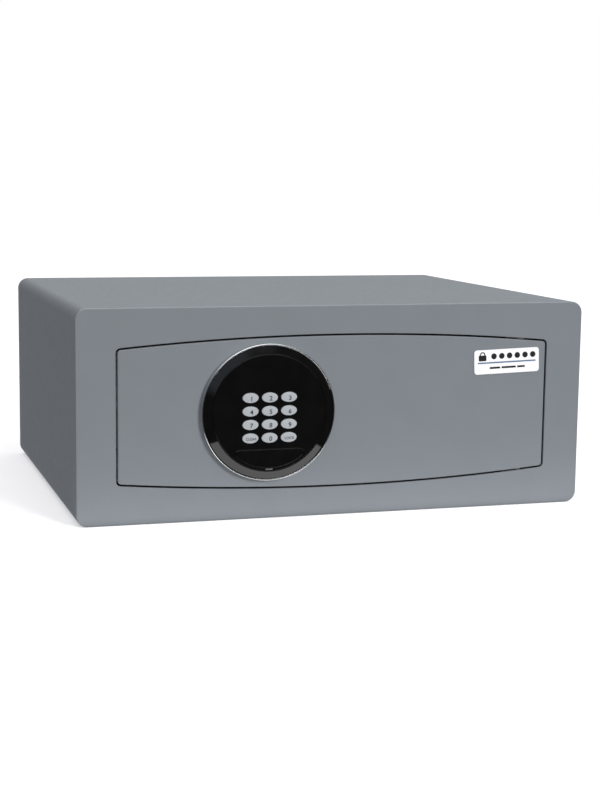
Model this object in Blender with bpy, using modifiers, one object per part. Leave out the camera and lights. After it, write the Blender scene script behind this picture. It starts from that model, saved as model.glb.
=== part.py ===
"""In-room safe: a low steel cabinet with a flush arched door, a round keypad and motor-driven bolts.

The cabinet stands on z = 0, centred on x = 0, and its door faces -Y. Lengths are in metres; MM turns
millimetres into metres. A depth is measured backwards from the front face: a negative one stands proud.
"""

import math

import bmesh
import bpy
from mathutils import Matrix, Vector

MM = 0.001
GAP = 0.3 * MM  # air left between neighbouring solids

# Cabinet
BODY_W, BODY_D, BODY_H = 500 * MM, 400 * MM, 200 * MM
KEY_PROUD = 9.0 * MM  # how far the keys stand in front of the door
FRONT_Y = (KEY_PROUD - BODY_D) / 2
EDGE_R = 11 * MM  # radius along the four front-to-back edges
SHELL_T = 2 * MM
FRAME_T = 3 * MM
FRONT_FILLET = 1.2 * MM
FIX_X, FIX_R = 150 * MM, 6 * MM  # fixing holes, left and right
BASE_FIX_DEPTH = 215 * MM
MAT_T = 2.5 * MM
CORNER_STEPS = 6

# Door
DOOR_HALF_W = 211.5 * MM
DOOR_HALF_H = 71.2 * MM  # at the middle of the arch
ARCH_R = 2310 * MM
DOOR_GAP = 1.7 * MM
DOOR_CORNER_R = 3 * MM
DOOR_T = 4 * MM
DOOR_Z = BODY_H / 2
DOOR_FILLET = 0.6 * MM
HINGE_X, HINGE_DEPTH = 187.5 * MM, 7.7 * MM
DOOR_BACK = DOOR_T + GAP

# Hinge
PIN_R, PIN_BORE_R, BUSH_R = 2.3 * MM, 2.6 * MM, 3.6 * MM
LUG_W, LUG_DEPTH, LUG_H = 19 * MM, 13 * MM, 18 * MM
LUG_RISE = 40 * MM  # from the door's middle to the near end of a lug
BRACKET_RISE = 65 * MM
BRACKET_W, BRACKET_T, BRACKET_DEPTH, BRACKET_LEAF = 33 * MM, 3 * MM, 20 * MM, 25 * MM

# Bolts and strike
BOLT_R, BOLT_L = 9 * MM, 55.8 * MM
BOLT_TIP_X = -205.5 * MM
BOLT_RISE, BOLT_DEPTH = 30 * MM, 22 * MM
GUIDE_X, GUIDE_W, GUIDE_H = -180 * MM, 20 * MM, 26 * MM
STRIKE_X, STRIKE_RISE, STRIKE_SLOT = -216 * MM, 60 * MM, 22 * MM

# Rack and pinion
MODULE, TEETH = 1.5 * MM, 12
PITCH = math.pi * MODULE
PITCH_R = MODULE * TEETH / 2
ADDENDUM, DEDENDUM, TOOTH_SLACK = 1.3 * MM, 1.7 * MM, 0.2 * MM
FLANK = math.tan(math.radians(20))
GEAR_X, RACK_Z = -90 * MM, DOOR_Z
GEAR_NEAR, GEAR_FAR = 18 * MM, 26 * MM
GEARBOX_HALF_W, GEARBOX_H = 17 * MM, 47 * MM
DRIVE_NEAR, GEARBOX_FAR, MOTOR_FAR = 5 * MM, 17 * MM, 20 * MM

# Inner cover of the door
COVER_LEFT, COVER_RIGHT = -205 * MM, 174 * MM
COVER_HALF_H, COVER_BACK, COVER_T = 54 * MM, 42 * MM, 1.5 * MM
FLANGE_REACH = 61 * MM
SCREW_XS, SCREW_RISE = (-185 * MM, 160 * MM), 57.5 * MM
SCREW_R, SCREW_HEAD_R, SCREW_REACH = 1.6 * MM, 3.4 * MM, 4.2 * MM
BOARD_LEFT, BOARD_RIGHT, BOARD_HALF_H = -22 * MM, 62 * MM, 38 * MM

# Batteries
CELL_R, CELL_L, CELL_PITCH, CELLS = 7.25 * MM, 50.5 * MM, 15.8 * MM, 4
BATTERY_X, BATTERY_DEPTH = 113 * MM, 31 * MM
LID_W, LID_H, LID_T = 74 * MM, 66 * MM, 2.2 * MM
LID_TRAVEL = 70 * MM

# Keypad module: a round housing on the door, heights measured outwards from the door's face
PAD_X, PAD_Z = -70.5 * MM, 101.2 * MM
RING_R, RING_T, RING_PROUD = 64.2 * MM, 1.2 * MM, 6.0 * MM
BEVEL_R, BEVEL_LOW, FACE_PROUD = 62.7 * MM, 5.0 * MM, 8.0 * MM
LENS_R, LENS_T = 54.6 * MM, 1.0 * MM
HOUSING_WALL = 1.5 * MM
HOUSING_TOP = FACE_PROUD - LENS_T - GAP
HOUSING_UNDER = HOUSING_TOP - HOUSING_WALL
KEY_W, KEY_H, KEY_CROWN = 15.4 * MM, 9.4 * MM, 0.8 * MM
KEY_PITCH_X, KEY_PITCH_Z = 18.5 * MM, 12.6 * MM
KEYS_DROP = 4.4 * MM  # the key block's middle below the module's middle
KEY_ROWS = (("1", "2", "3"), ("4", "5", "6"), ("7", "8", "9"), ("clear", "0", "lock"))
MAT_W, MAT_H = 58 * MM, 52 * MM
PAD_BOARD_HALF_W, PAD_BOARD_UP, PAD_BOARD_DOWN = 40 * MM, 38 * MM, 31 * MM
SERVICE_R, SERVICE_CHORD, SERVICE_CORNER = 52.0 * MM, 34.2 * MM, 4.0 * MM
CLIP_X, CLIP_W, CLIP_H = 20 * MM, 6 * MM, 1.5 * MM  # clips of the service cover, left and right
WINDOW_RISE, WINDOW_W, WINDOW_H = 35.5 * MM, 46 * MM, 15 * MM
LOCK_DROP, LOCK_R, PLUG_R = 43 * MM, 7.0 * MM, 5.0 * MM
LOCK_BACK = 24 * MM
CABLE_X, CABLE_Z = -62 * MM, 100 * MM
CABLE_SLOT_W, CABLE_SLOT_H = 20 * MM, 16 * MM
PAD_STEPS = 48  # sides of the module's large circles

# Label
LABEL_X, LABEL_Z, LABEL_W, LABEL_H, LABEL_R = 170.7 * MM, 143.3 * MM, 68.2 * MM, 23.7 * MM, 3 * MM
LABEL_T = 0.4 * MM
LABEL_TILT = math.radians(1.9)

# Colour, roughness, metallic
FINISHES = {
    "grey_paint": ((0.222, 0.246, 0.258), 0.42, 0.0),
    "zinc": ((0.55, 0.56, 0.57), 0.35, 1.0),
    "steel": ((0.60, 0.60, 0.60), 0.25, 1.0),
    "chrome": ((0.80, 0.80, 0.80), 0.08, 1.0),
    "black_gloss": ((0.006, 0.006, 0.007), 0.06, 0.0),
    "black_matt": ((0.02, 0.02, 0.02), 0.5, 0.0),
    "key_grey": ((0.52, 0.55, 0.57), 0.35, 0.0),
    "silicone": ((0.10, 0.10, 0.11), 0.7, 0.0),
    "board_green": ((0.02, 0.12, 0.05), 0.4, 0.0),
    "brass": ((0.70, 0.52, 0.24), 0.3, 1.0),
    "white": ((0.85, 0.86, 0.86), 0.35, 0.0),
    "nylon": ((0.80, 0.79, 0.74), 0.45, 0.0),
    "felt": ((0.03, 0.03, 0.035), 0.95, 0.0),
    "cell": ((0.09, 0.10, 0.12), 0.3, 0.3),
}

AXIS_TURN = {  # turns a shape built along local Z so that it points along the named axis
    "+Z": Matrix.Identity(4),
    "-Y": Matrix.Rotation(math.radians(90), 4, "X"),
    "+Y": Matrix.Rotation(math.radians(-90), 4, "X"),
    "-X": Matrix.Rotation(math.radians(-90), 4, "Y"),
}
PLANE_TURN = {  # turns a flat outline drawn in local XY into the named world plane
    "XY": Matrix.Identity(4),
    "XZ": Matrix.Rotation(math.radians(90), 4, "X"),
    "YZ": Matrix.Rotation(math.radians(90), 4, "Z") @ Matrix.Rotation(math.radians(90), 4, "X"),
}
NORMAL = {"XY": Vector((0, 0, 1)), "XZ": Vector((0, 1, 0)), "YZ": Vector((1, 0, 0))}


# ---------------------------------------------------------------- scene helpers


def clear_scene():
    for obj in list(bpy.data.objects):
        bpy.data.objects.remove(obj, do_unlink=True)


def new_collection(name, hidden=False):
    collection = bpy.data.collections.new(name)
    collection.hide_render = hidden
    bpy.context.scene.collection.children.link(collection)
    return collection


def paint(obj, finish):
    colour, roughness, metallic = FINISHES[finish]
    material = bpy.data.materials.new(obj.name)
    material.use_nodes = True
    shader = material.node_tree.nodes["Principled BSDF"]
    shader.inputs["Base Color"].default_value = (*colour, 1)
    shader.inputs["Roughness"].default_value = roughness
    shader.inputs["Metallic"].default_value = metallic
    obj.data.materials.clear()
    obj.data.materials.append(material)


def place(obj, finish, parent):
    """Files a finished part, paints it and hangs it on its body's empty without moving it."""
    PARTS.objects.link(obj)
    if finish:
        paint(obj, finish)
    obj.parent = parent
    obj.matrix_parent_inverse = parent.matrix_world.inverted()
    return obj


def empty(name, position, parent=None):
    obj = bpy.data.objects.new(name, None)
    obj.empty_display_size = 10 * MM
    PARTS.objects.link(obj)
    obj.matrix_world = Matrix.Translation(position)
    if parent:
        obj.parent = parent
        obj.matrix_parent_inverse = parent.matrix_world.inverted()
    bpy.context.view_layer.update()
    return obj


def boolean(obj, other, operation):
    """Cuts or joins with another mesh, which is kept as a hidden helper."""
    CUTTERS.objects.link(other)
    other.hide_render = True
    other.display_type = "WIRE"
    modifier = obj.modifiers.new(other.name, "BOOLEAN")
    modifier.operation = operation
    modifier.solver = "EXACT"
    modifier.object = other
    return obj


def cut(obj, other):
    return boolean(obj, other, "DIFFERENCE")


def join(obj, other):
    return boolean(obj, other, "UNION")


def y_at(depth):
    return FRONT_Y + depth


# ---------------------------------------------------------------- outlines


def ellipse(cx, cy, rx, ry, steps):
    turn = 2 * math.pi / steps
    return [(cx + rx * math.cos(i * turn), cy + ry * math.sin(i * turn)) for i in range(steps)]


def arc(cx, cy, radius, start, end, steps):
    angles = [math.radians(start + (end - start) * i / steps) for i in range(steps + 1)]
    return [(cx + radius * math.cos(a), cy + radius * math.sin(a)) for a in angles]


def rounded_rect(cx, cy, width, height, radius, steps=CORNER_STEPS):
    points = []
    for turn, (sx, sy) in enumerate(((1, 1), (-1, 1), (-1, -1), (1, -1))):
        x = cx + sx * (width / 2 - radius)
        y = cy + sy * (height / 2 - radius)
        points += arc(x, y, radius, 90 * turn, 90 * turn + 90, steps)
    return points


def arched_outline(grow, arch_steps=14, corner_steps=3):
    """The door's outline, grown outwards: straight sides, shallow arcs above and below, round corners."""
    half_w = DOOR_HALF_W + grow
    radius = ARCH_R + grow
    corner = DOOR_CORNER_R + grow
    drop = DOOR_HALF_H + grow - radius  # the arc's centre, below the door's middle
    fillet_x = half_w - corner
    fillet_y = drop + math.sqrt((radius - corner) ** 2 - fillet_x**2)
    tangent = math.degrees(math.atan2(fillet_y - drop, fillet_x))
    top = arc(fillet_x, fillet_y, corner, 0, tangent, corner_steps)
    top += arc(0, drop, radius, tangent, 180 - tangent, arch_steps)[1:]
    top += arc(-fillet_x, fillet_y, corner, 180 - tangent, 180, corner_steps)[1:]
    bottom = [(-x, -y) for x, y in top]
    return [(x, DOOR_Z + y) for x, y in top + bottom]


def service_outline(inset, steps=20):
    """The service cover's outline: the segment of a disc below a chord, with rounded corners."""
    radius = SERVICE_R - inset
    chord = SERVICE_CHORD + inset
    corner = SERVICE_CORNER - min(inset, 2 * MM)
    x = math.sqrt((radius - corner) ** 2 - (chord + corner) ** 2)
    tangent = math.degrees(math.atan2(-(chord + corner), x))
    points = arc(-x, -chord - corner, corner, 90, 180 - tangent, 4)
    points += arc(0, 0, radius, -180 - tangent, tangent, steps)[1:-1]
    points += arc(x, -chord - corner, corner, tangent, 90, 4)
    return [(PAD_X + px, PAD_Z + py) for px, py in points]


def rack_outline():
    """The bolt carriage seen from the front: an upright bar, and an arm with teeth along its top."""
    bar_left = BOLT_TIP_X + BOLT_L + GAP
    bar_right = bar_left + 6 * MM
    arm_right, arm_low = GEAR_X + 32 * MM, RACK_Z - 10 * MM
    root = RACK_Z - DEDENDUM
    reach = BOLT_RISE + BOLT_R + 3 * MM
    half = PITCH / 4 - TOOTH_SLACK
    teeth = []
    for i in range(-2, 6):
        x = GEAR_X + (i + 0.5) * PITCH
        teeth += [(x - half - FLANK * DEDENDUM, root), (x - half + FLANK * ADDENDUM, RACK_Z + ADDENDUM)]
        teeth += [(x + half - FLANK * ADDENDUM, RACK_Z + ADDENDUM), (x + half + FLANK * DEDENDUM, root)]
    bar_top = [(bar_right, root), (bar_right, DOOR_Z + reach), (bar_left, DOOR_Z + reach)]
    bar_low = [(bar_left, DOOR_Z - reach), (bar_right, DOOR_Z - reach), (bar_right, arm_low)]
    return bar_low + [(arm_right, arm_low), (arm_right, root)] + teeth[::-1] + bar_top


def pinion_outline():
    """A spur gear about its own middle, with one tooth pointing straight down into the rack."""
    half = PITCH / 4 - TOOTH_SLACK
    flank = (
        (PITCH_R - DEDENDUM, half + FLANK * DEDENDUM / 2),
        (PITCH_R, half),
        (PITCH_R + ADDENDUM, half - FLANK * ADDENDUM),
    )
    points = []
    for tooth in range(TEETH):
        middle = -math.pi / 2 + 2 * math.pi * tooth / TEETH
        sides = [(r, -w) for r, w in flank] + [(r, w) for r, w in reversed(flank)]
        points += [(r * math.cos(middle + w / r), r * math.sin(middle + w / r)) for r, w in sides]
    return [(GEAR_X + x, RACK_Z + PITCH_R + z) for x, z in points]


# ---------------------------------------------------------------- solids


def prism(name, loops, plane, low, high, origin=(0, 0, 0)):
    """A flat outline, with later loops as holes, given thickness from low to high across its plane."""
    origin = Vector(origin)
    turn = PLANE_TURN[plane]
    local = turn.to_3x3().inverted() @ origin
    curve = bpy.data.curves.new(name, "CURVE")
    curve.dimensions = "2D"
    curve.fill_mode = "BOTH"
    curve.extrude = (high - low) / 2
    for loop in loops:
        spline = curve.splines.new("POLY")
        spline.points.add(len(loop) - 1)
        for point, (x, y) in zip(spline.points, loop):
            point.co = (x - local.x, y - local.y, 0, 1)
        spline.use_cyclic_u = True
    outline = bpy.data.objects.new(name + "_outline", curve)
    normal = NORMAL[plane]
    flat = origin - normal * origin.dot(normal)
    outline.matrix_world = Matrix.Translation(flat + normal * (low + high) / 2) @ turn
    return welded_mesh(name, outline)


def welded_mesh(name, source):
    """The mesh of a curve object, with its caps welded on and its faces pointing out."""
    bpy.context.scene.collection.objects.link(source)
    bpy.context.view_layer.update()
    evaluated = source.evaluated_get(bpy.context.evaluated_depsgraph_get())
    mesh = bpy.data.meshes.new_from_object(evaluated)
    mesh.name = name
    shape = bmesh.new()
    shape.from_mesh(mesh)
    bmesh.ops.remove_doubles(shape, verts=shape.verts, dist=0.001 * MM)
    bmesh.ops.recalc_face_normals(shape, faces=shape.faces)
    shape.to_mesh(mesh)
    shape.free()
    obj = bpy.data.objects.new(name, mesh)
    obj.matrix_world = source.matrix_world
    bpy.data.objects.remove(source, do_unlink=True)
    return obj


def box(name, low, high):
    """A box between two corners, with its origin at its middle."""
    low, high = Vector(low), Vector(high)
    shape = bmesh.new()
    bmesh.ops.create_cube(shape, size=1.0)
    bmesh.ops.scale(shape, vec=high - low, verts=shape.verts)
    mesh = bpy.data.meshes.new(name)
    shape.to_mesh(mesh)
    shape.free()
    obj = bpy.data.objects.new(name, mesh)
    obj.matrix_world = Matrix.Translation((low + high) / 2)
    return obj


def cylinder(name, axis, start, radius, length, steps=24):
    """A round bar that starts at a point and runs along the named axis."""
    shape = bmesh.new()
    bmesh.ops.create_cone(
        shape, cap_ends=True, segments=steps, radius1=radius, radius2=radius, depth=length
    )
    bmesh.ops.translate(shape, vec=(0, 0, length / 2), verts=shape.verts)
    mesh = bpy.data.meshes.new(name)
    shape.to_mesh(mesh)
    shape.free()
    smooth(mesh)
    obj = bpy.data.objects.new(name, mesh)
    obj.matrix_world = Matrix.Translation(start) @ AXIS_TURN[axis]
    return obj


def turned(name, profile, axis, position, steps, closed=False):
    """A profile of (radius, height) points, outer side top to bottom, turned about the named axis."""
    mesh = bpy.data.meshes.new(name)
    points = [(radius, 0, height) for radius, height in profile]
    edges = [(i, i + 1) for i in range(len(points) - 1)]
    if closed:
        edges.append((len(points) - 1, 0))
    mesh.from_pydata(points, edges, [])
    obj = bpy.data.objects.new(name, mesh)
    obj.matrix_world = Matrix.Translation(position) @ AXIS_TURN[axis]
    screw = obj.modifiers.new("Turn", "SCREW")
    screw.steps = steps
    screw.render_steps = steps
    screw.use_merge_vertices = True
    screw.merge_threshold = 0.01 * MM
    screw.use_smooth_shade = True
    return obj


def smooth(mesh, angle=35):
    mesh.shade_smooth()
    mesh.set_sharp_from_angle(angle=math.radians(angle))


def bevel(obj, width, segments=2, edges_where=None):
    """Rounds the object's edges, or only those whose two ends both pass a test in world space."""
    modifier = obj.modifiers.new("Bevel", "BEVEL")
    modifier.width = width
    modifier.segments = segments
    modifier.limit_method = "ANGLE"
    if edges_where:
        modifier.limit_method = "WEIGHT"
        weights = obj.data.attributes.new("bevel_weight_edge", "FLOAT", "EDGE")
        world = obj.matrix_world
        picked = [edges_where(world @ vertex.co) for vertex in obj.data.vertices]
        for edge in obj.data.edges:
            first, second = edge.vertices
            weights.data[edge.index].value = float(picked[first] and picked[second])
    return obj


# ---------------------------------------------------------------- cabinet


def make_shell(body):
    outer = rounded_rect(0, DOOR_Z, BODY_W, BODY_H, EDGE_R)
    inner = rounded_rect(0, DOOR_Z, BODY_W - 2 * SHELL_T, BODY_H - 2 * SHELL_T, EDGE_R - SHELL_T)
    shell = prism("outer_shell", [outer, inner], "XZ", y_at(FRAME_T + GAP), y_at(BODY_D))
    for side in (-1, 1):
        start = (side * FIX_X, y_at(BASE_FIX_DEPTH), -SHELL_T)
        cut(shell, cylinder(f"base_hole_{side}", "+Z", start, FIX_R, 3 * SHELL_T, 16))
    smooth(shell.data)
    place(shell, "grey_paint", body)


def make_front_frame(body):
    outer = rounded_rect(0, DOOR_Z, BODY_W, BODY_H, EDGE_R)
    opening = arched_outline(DOOR_GAP)
    frame = prism("front_frame", [outer, opening], "XZ", y_at(0), y_at(FRAME_T))
    edge_zone = EDGE_R + MM

    def on_front_rim(point):
        near_side = BODY_W / 2 - abs(point.x) < edge_zone
        near_top = BODY_H / 2 - abs(point.z - DOOR_Z) < edge_zone
        return point.y < y_at(FRAME_T / 2) and (near_side or near_top)

    bevel(frame, FRONT_FILLET, 2, on_front_rim)
    smooth(frame.data)
    place(frame, "grey_paint", body)


def make_back_panel(body):
    margin = SHELL_T + GAP
    outer = rounded_rect(0, DOOR_Z, BODY_W - 2 * margin, BODY_H - 2 * margin, EDGE_R - margin)
    holes = [ellipse(side * FIX_X, DOOR_Z, FIX_R, FIX_R, 16) for side in (-1, 1)]
    panel = prism("back_panel", [outer, *holes], "XZ", y_at(BODY_D - SHELL_T), y_at(BODY_D))
    place(panel, "grey_paint", body)


def make_base_mat(body):
    near, far = 8 * MM, BODY_D - 5 * MM
    middle = y_at((near + far) / 2)
    low = SHELL_T + GAP
    outer = rounded_rect(0, middle, BODY_W - 22 * MM, far - near, 4 * MM, 3)
    holes = [ellipse(side * FIX_X, y_at(BASE_FIX_DEPTH), 2 * FIX_R, 2 * FIX_R, 20) for side in (-1, 1)]
    place(prism("base_mat", [outer, *holes], "XY", low, low + MAT_T), "felt", body)


def make_strike(body):
    """Z-shaped channel on the latch side, with a stop lip behind the door's edge and slots for bolts."""
    thick = 2 * MM
    lip, foot = 8 * MM, 20 * MM
    near, far = FRAME_T + GAP, 36 * MM
    lip_near = DOOR_BACK + 0.1 * MM
    outline = [
        (STRIKE_X - foot, y_at(near)),
        (STRIKE_X, y_at(near)),
        (STRIKE_X, y_at(lip_near)),
        (STRIKE_X + lip, y_at(lip_near)),
        (STRIKE_X + lip, y_at(lip_near + thick)),
        (STRIKE_X, y_at(lip_near + thick)),
        (STRIKE_X, y_at(far)),
        (STRIKE_X - thick, y_at(far)),
        (STRIKE_X - thick, y_at(near + thick)),
        (STRIKE_X - foot, y_at(near + thick)),
    ]
    strike = prism("strike_channel", [outline], "XY", DOOR_Z - STRIKE_RISE, DOOR_Z + STRIKE_RISE)
    half = STRIKE_SLOT / 2
    for side in (-1, 1):
        z = DOOR_Z + side * BOLT_RISE
        low = (STRIKE_X - 3 * thick, y_at(BOLT_DEPTH) - half, z - half)
        high = (STRIKE_X + thick, y_at(BOLT_DEPTH) + half, z + half)
        cut(strike, box(f"strike_slot_{side}", low, high))
    place(strike, "zinc", body)


def make_hinge_seat(body, name, side):
    """An angle bracket behind the frame and the nylon bush that its leaf carries."""
    near = DOOR_Z + side * BRACKET_RISE
    far = near + side * BRACKET_T
    tip = near + side * BRACKET_LEAF
    thick = 1.7 * MM
    front = y_at(FRAME_T + GAP)
    outline = [
        (front, near),
        (y_at(BRACKET_DEPTH), near),
        (y_at(BRACKET_DEPTH), far),
        (front + thick, far),
        (front + thick, tip),
        (front, tip),
    ]
    left = HINGE_X - BRACKET_W / 2
    bracket = prism(f"hinge_bracket_{name}", [outline], "YZ", left, left + BRACKET_W)
    axis = (HINGE_X, y_at(HINGE_DEPTH), min(near, far) - MM)
    cut(bracket, cylinder(f"bush_seat_{name}", "+Z", axis, BUSH_R + GAP, BRACKET_T + 2 * MM, 20))
    place(bracket, "zinc", body)

    flange_r, flange_t = 4.4 * MM, 0.7 * MM
    inner, outer = near - side * (GAP + flange_t), far
    bottom, top = min(inner, outer), max(inner, outer)
    step = near - side * GAP
    profile = [(PIN_BORE_R, top), (BUSH_R, top), (BUSH_R, step), (flange_r, step)]
    profile += [(flange_r, bottom), (PIN_BORE_R, bottom)]
    if side < 0:
        profile = [(PIN_BORE_R, top), (flange_r, top), (flange_r, step), (BUSH_R, step)]
        profile += [(BUSH_R, bottom), (PIN_BORE_R, bottom)]
    bush = turned(f"hinge_bush_{name}", profile, "+Z", (HINGE_X, y_at(HINGE_DEPTH), 0), 20, closed=True)
    place(bush, "nylon", body)


def make_cabinet(body):
    make_shell(body)
    make_front_frame(body)
    make_back_panel(body)
    make_base_mat(body)
    make_strike(body)
    for name, side in (("upper", 1), ("lower", -1)):
        make_hinge_seat(body, name, side)


# ---------------------------------------------------------------- door


def make_door_plate(body):
    cable_slot = rounded_rect(CABLE_X, CABLE_Z, CABLE_SLOT_W, CABLE_SLOT_H, 2 * MM, 2)
    lock_hole = ellipse(PAD_X, PAD_Z - LOCK_DROP, LOCK_R + GAP, LOCK_R + GAP, 20)
    loops = [arched_outline(0), cable_slot, lock_hole]
    plate = prism("door_plate", loops, "XZ", y_at(0), y_at(DOOR_T))

    def on_front_edge(point):
        centre = Vector((0, point.y, DOOR_Z + DOOR_HALF_H - ARCH_R))
        near_side = DOOR_HALF_W - abs(point.x) < DOOR_CORNER_R
        mirrored = Vector((point.x, point.y, DOOR_Z + abs(point.z - DOOR_Z)))
        near_arch = (mirrored - centre).length > ARCH_R - MM
        return point.y < y_at(DOOR_T / 2) and (near_side or near_arch)

    bevel(plate, DOOR_FILLET, 1, on_front_edge)
    seat_l = SCREW_REACH - 0.6 * MM
    for x in SCREW_XS:
        for side in (-1, 1):
            start = (x, y_at(DOOR_T + MM), DOOR_Z + side * SCREW_RISE)
            cut(plate, cylinder("screw_seat", "-Y", start, SCREW_R + GAP, seat_l, 10))
    smooth(plate.data)
    place(plate, "grey_paint", body)


def make_hinge_lug(body, name, side):
    low = DOOR_Z + side * LUG_RISE
    high = low + side * LUG_H
    bottom, top = min(low, high), max(low, high)
    left = HINGE_X - LUG_W / 2
    lug = box(f"hinge_lug_{name}", (left, y_at(DOOR_BACK), bottom), (left + LUG_W, y_at(LUG_DEPTH), top))
    axis = Vector((HINGE_X, y_at(HINGE_DEPTH), 0))
    bore_start = axis + Vector((0, 0, bottom - MM))
    cut(lug, cylinder(f"pin_bore_{name}", "+Z", bore_start, PIN_BORE_R, LUG_H + 2 * MM, 16))
    place(lug, "zinc", body)

    pin_inset = 2 * MM
    inner = DOOR_Z + side * (LUG_RISE + pin_inset)
    outer = DOOR_Z + side * (BRACKET_RISE + BRACKET_T)
    start = axis + Vector((0, 0, min(inner, outer)))
    pin = cylinder(f"hinge_pin_{name}", "+Z", start, PIN_R, abs(outer - inner), 16)
    place(pin, "steel", body)


def make_inner_cover(body):
    """Pressed cover behind the door: a box with its open side to the door, and two screwed flanges."""
    middle_x, width = (COVER_LEFT + COVER_RIGHT) / 2, COVER_RIGHT - COVER_LEFT
    outer = rounded_rect(middle_x, DOOR_Z, width, 2 * COVER_HALF_H, 4 * MM, 3)
    cover = prism("door_inner_cover", [outer], "XZ", y_at(DOOR_BACK), y_at(COVER_BACK))
    flange_w = width - 10 * MM
    flange_outline = rounded_rect(middle_x, DOOR_Z, flange_w, 2 * FLANGE_REACH, 3 * MM, 2)
    near, far = y_at(DOOR_BACK), y_at(DOOR_BACK + COVER_T)
    join(cover, prism("cover_flange", [flange_outline], "XZ", near, far))
    for side in (-1, 1):
        make_lid_rail(cover, side)
    hollow = rounded_rect(
        middle_x, DOOR_Z, width - 2 * COVER_T, 2 * (COVER_HALF_H - COVER_T), 2.5 * MM, 3
    )
    cut(cover, prism("cover_hollow", [hollow], "XZ", y_at(0), y_at(COVER_BACK - COVER_T)))
    window_w, window_h = LID_W - 10 * MM, LID_H - 8 * MM
    window = rounded_rect(BATTERY_X, DOOR_Z, window_w, window_h, 2 * MM, 2)
    cut(cover, prism("battery_window", [window], "XZ", y_at(COVER_BACK - 4 * MM), y_at(COVER_BACK + MM)))
    for side in (-1, 1):
        start = (COVER_LEFT + 3 * MM, y_at(BOLT_DEPTH), DOOR_Z + side * BOLT_RISE)
        cut(cover, cylinder("bolt_hole", "-X", start, BOLT_R + 0.6 * MM, 6 * MM, 24))
        for x in SCREW_XS:
            start = (x, y_at(DOOR_BACK + 3 * MM), DOOR_Z + side * SCREW_RISE)
            cut(cover, cylinder("flange_hole", "-Y", start, SCREW_R + GAP, 5 * MM, 10))
    smooth(cover.data)
    place(cover, "grey_paint", body)


def make_lid_rail(cover, side):
    """An L-shaped rail that holds one long edge of the battery lid."""
    left = BATTERY_X - LID_W / 2 - LID_TRAVEL
    right = BATTERY_X + LID_W / 2
    wall, overlap = 1.8 * MM, 2 * MM
    edge = DOOR_Z + side * (LID_H / 2 + GAP)
    outer = edge + side * wall
    over = edge - side * overlap
    root = y_at(COVER_BACK - MM)
    lip_near = y_at(COVER_BACK + GAP + LID_T + GAP)
    lip_far = lip_near + MM
    outline = [(root, outer), (root, edge), (lip_near, edge)]
    outline += [(lip_near, over), (lip_far, over), (lip_far, outer)]
    join(cover, prism(f"lid_rail_{side}", [outline], "YZ", left, right))


def make_cover_screws(body):
    head_t, crown_r = 1.8 * MM, 2.2 * MM
    seat = DOOR_BACK + COVER_T + GAP
    number = 0
    for side in (1, -1):
        for x in SCREW_XS:
            number += 1
            profile = [(0, head_t), (crown_r, 0.8 * head_t), (SCREW_HEAD_R, 0.1 * head_t)]
            profile += [(SCREW_HEAD_R, 0), (SCREW_R, 0), (SCREW_R, -SCREW_REACH), (0, -SCREW_REACH)]
            position = (x, y_at(seat), DOOR_Z + side * SCREW_RISE)
            screw = turned(f"cover_screw_{number}", profile, "+Y", position, 12)
            place(screw, "zinc", body)


def make_battery_bay(body):
    half_w, half_h, floor_depth = 34 * MM, 31 * MM, 10 * MM
    near, far = BATTERY_DEPTH - floor_depth, COVER_BACK - COVER_T - GAP
    low = (BATTERY_X - half_w, y_at(near), DOOR_Z - half_h)
    high = (BATTERY_X + half_w, y_at(far), DOOR_Z + half_h)
    holder = box("battery_holder", low, high)
    wall = 2 * MM
    inner_low = (low[0] + wall, y_at(near) + wall, low[2] + wall)
    inner_high = (high[0] - wall, y_at(far) + wall, high[2] - wall)
    cut(holder, box("battery_hollow", inner_low, inner_high))
    place(holder, "black_matt", body)
    nub_r, nub_t = 2.7 * MM, 1 * MM
    for number in range(CELLS):
        x = BATTERY_X + (number - (CELLS - 1) / 2) * CELL_PITCH
        profile = [(0, CELL_L), (nub_r, CELL_L), (nub_r, CELL_L - nub_t), (CELL_R, CELL_L - nub_t)]
        profile += [(CELL_R, 0), (0, 0)]
        position = (x, y_at(BATTERY_DEPTH), DOOR_Z - CELL_L / 2)
        place(turned(f"battery_{number + 1}", profile, "+Z", position, 16), "cell", body)


def make_drive(body):
    """Bolt guides, and the gearbox with its motor, all on the back of the door plate."""
    guide_far = BOLT_DEPTH + GUIDE_H / 2
    for name, side in (("upper", 1), ("lower", -1)):
        z = DOOR_Z + side * BOLT_RISE
        low = (GUIDE_X - GUIDE_W / 2, y_at(DOOR_BACK), z - GUIDE_H / 2)
        high = (GUIDE_X + GUIDE_W / 2, y_at(guide_far), z + GUIDE_H / 2)
        guide = box(f"bolt_guide_{name}", low, high)
        start = (GUIDE_X + GUIDE_W, y_at(BOLT_DEPTH), z)
        cut(guide, cylinder(f"guide_bore_{name}", "-X", start, BOLT_R + GAP, 2 * GUIDE_W, 24))
        place(guide, "black_matt", body)

    bottom = RACK_Z + 3 * MM
    top = bottom + GEARBOX_H
    low = (GEAR_X - GEARBOX_HALF_W, y_at(DRIVE_NEAR), bottom)
    high = (GEAR_X + GEARBOX_HALF_W, y_at(GEARBOX_FAR), top)
    place(bevel(box("lock_gearbox", low, high), 1.5 * MM, 1), "black_matt", body)
    motor_l, motor_h, drop = 26 * MM, 20 * MM, 2 * MM
    left = GEAR_X + GEARBOX_HALF_W + GAP
    low = (left, y_at(DRIVE_NEAR), top - drop - motor_h)
    high = (left + motor_l, y_at(MOTOR_FAR), top - drop)
    place(bevel(box("lock_motor", low, high), 4 * MM, 2), "zinc", body)


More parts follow.
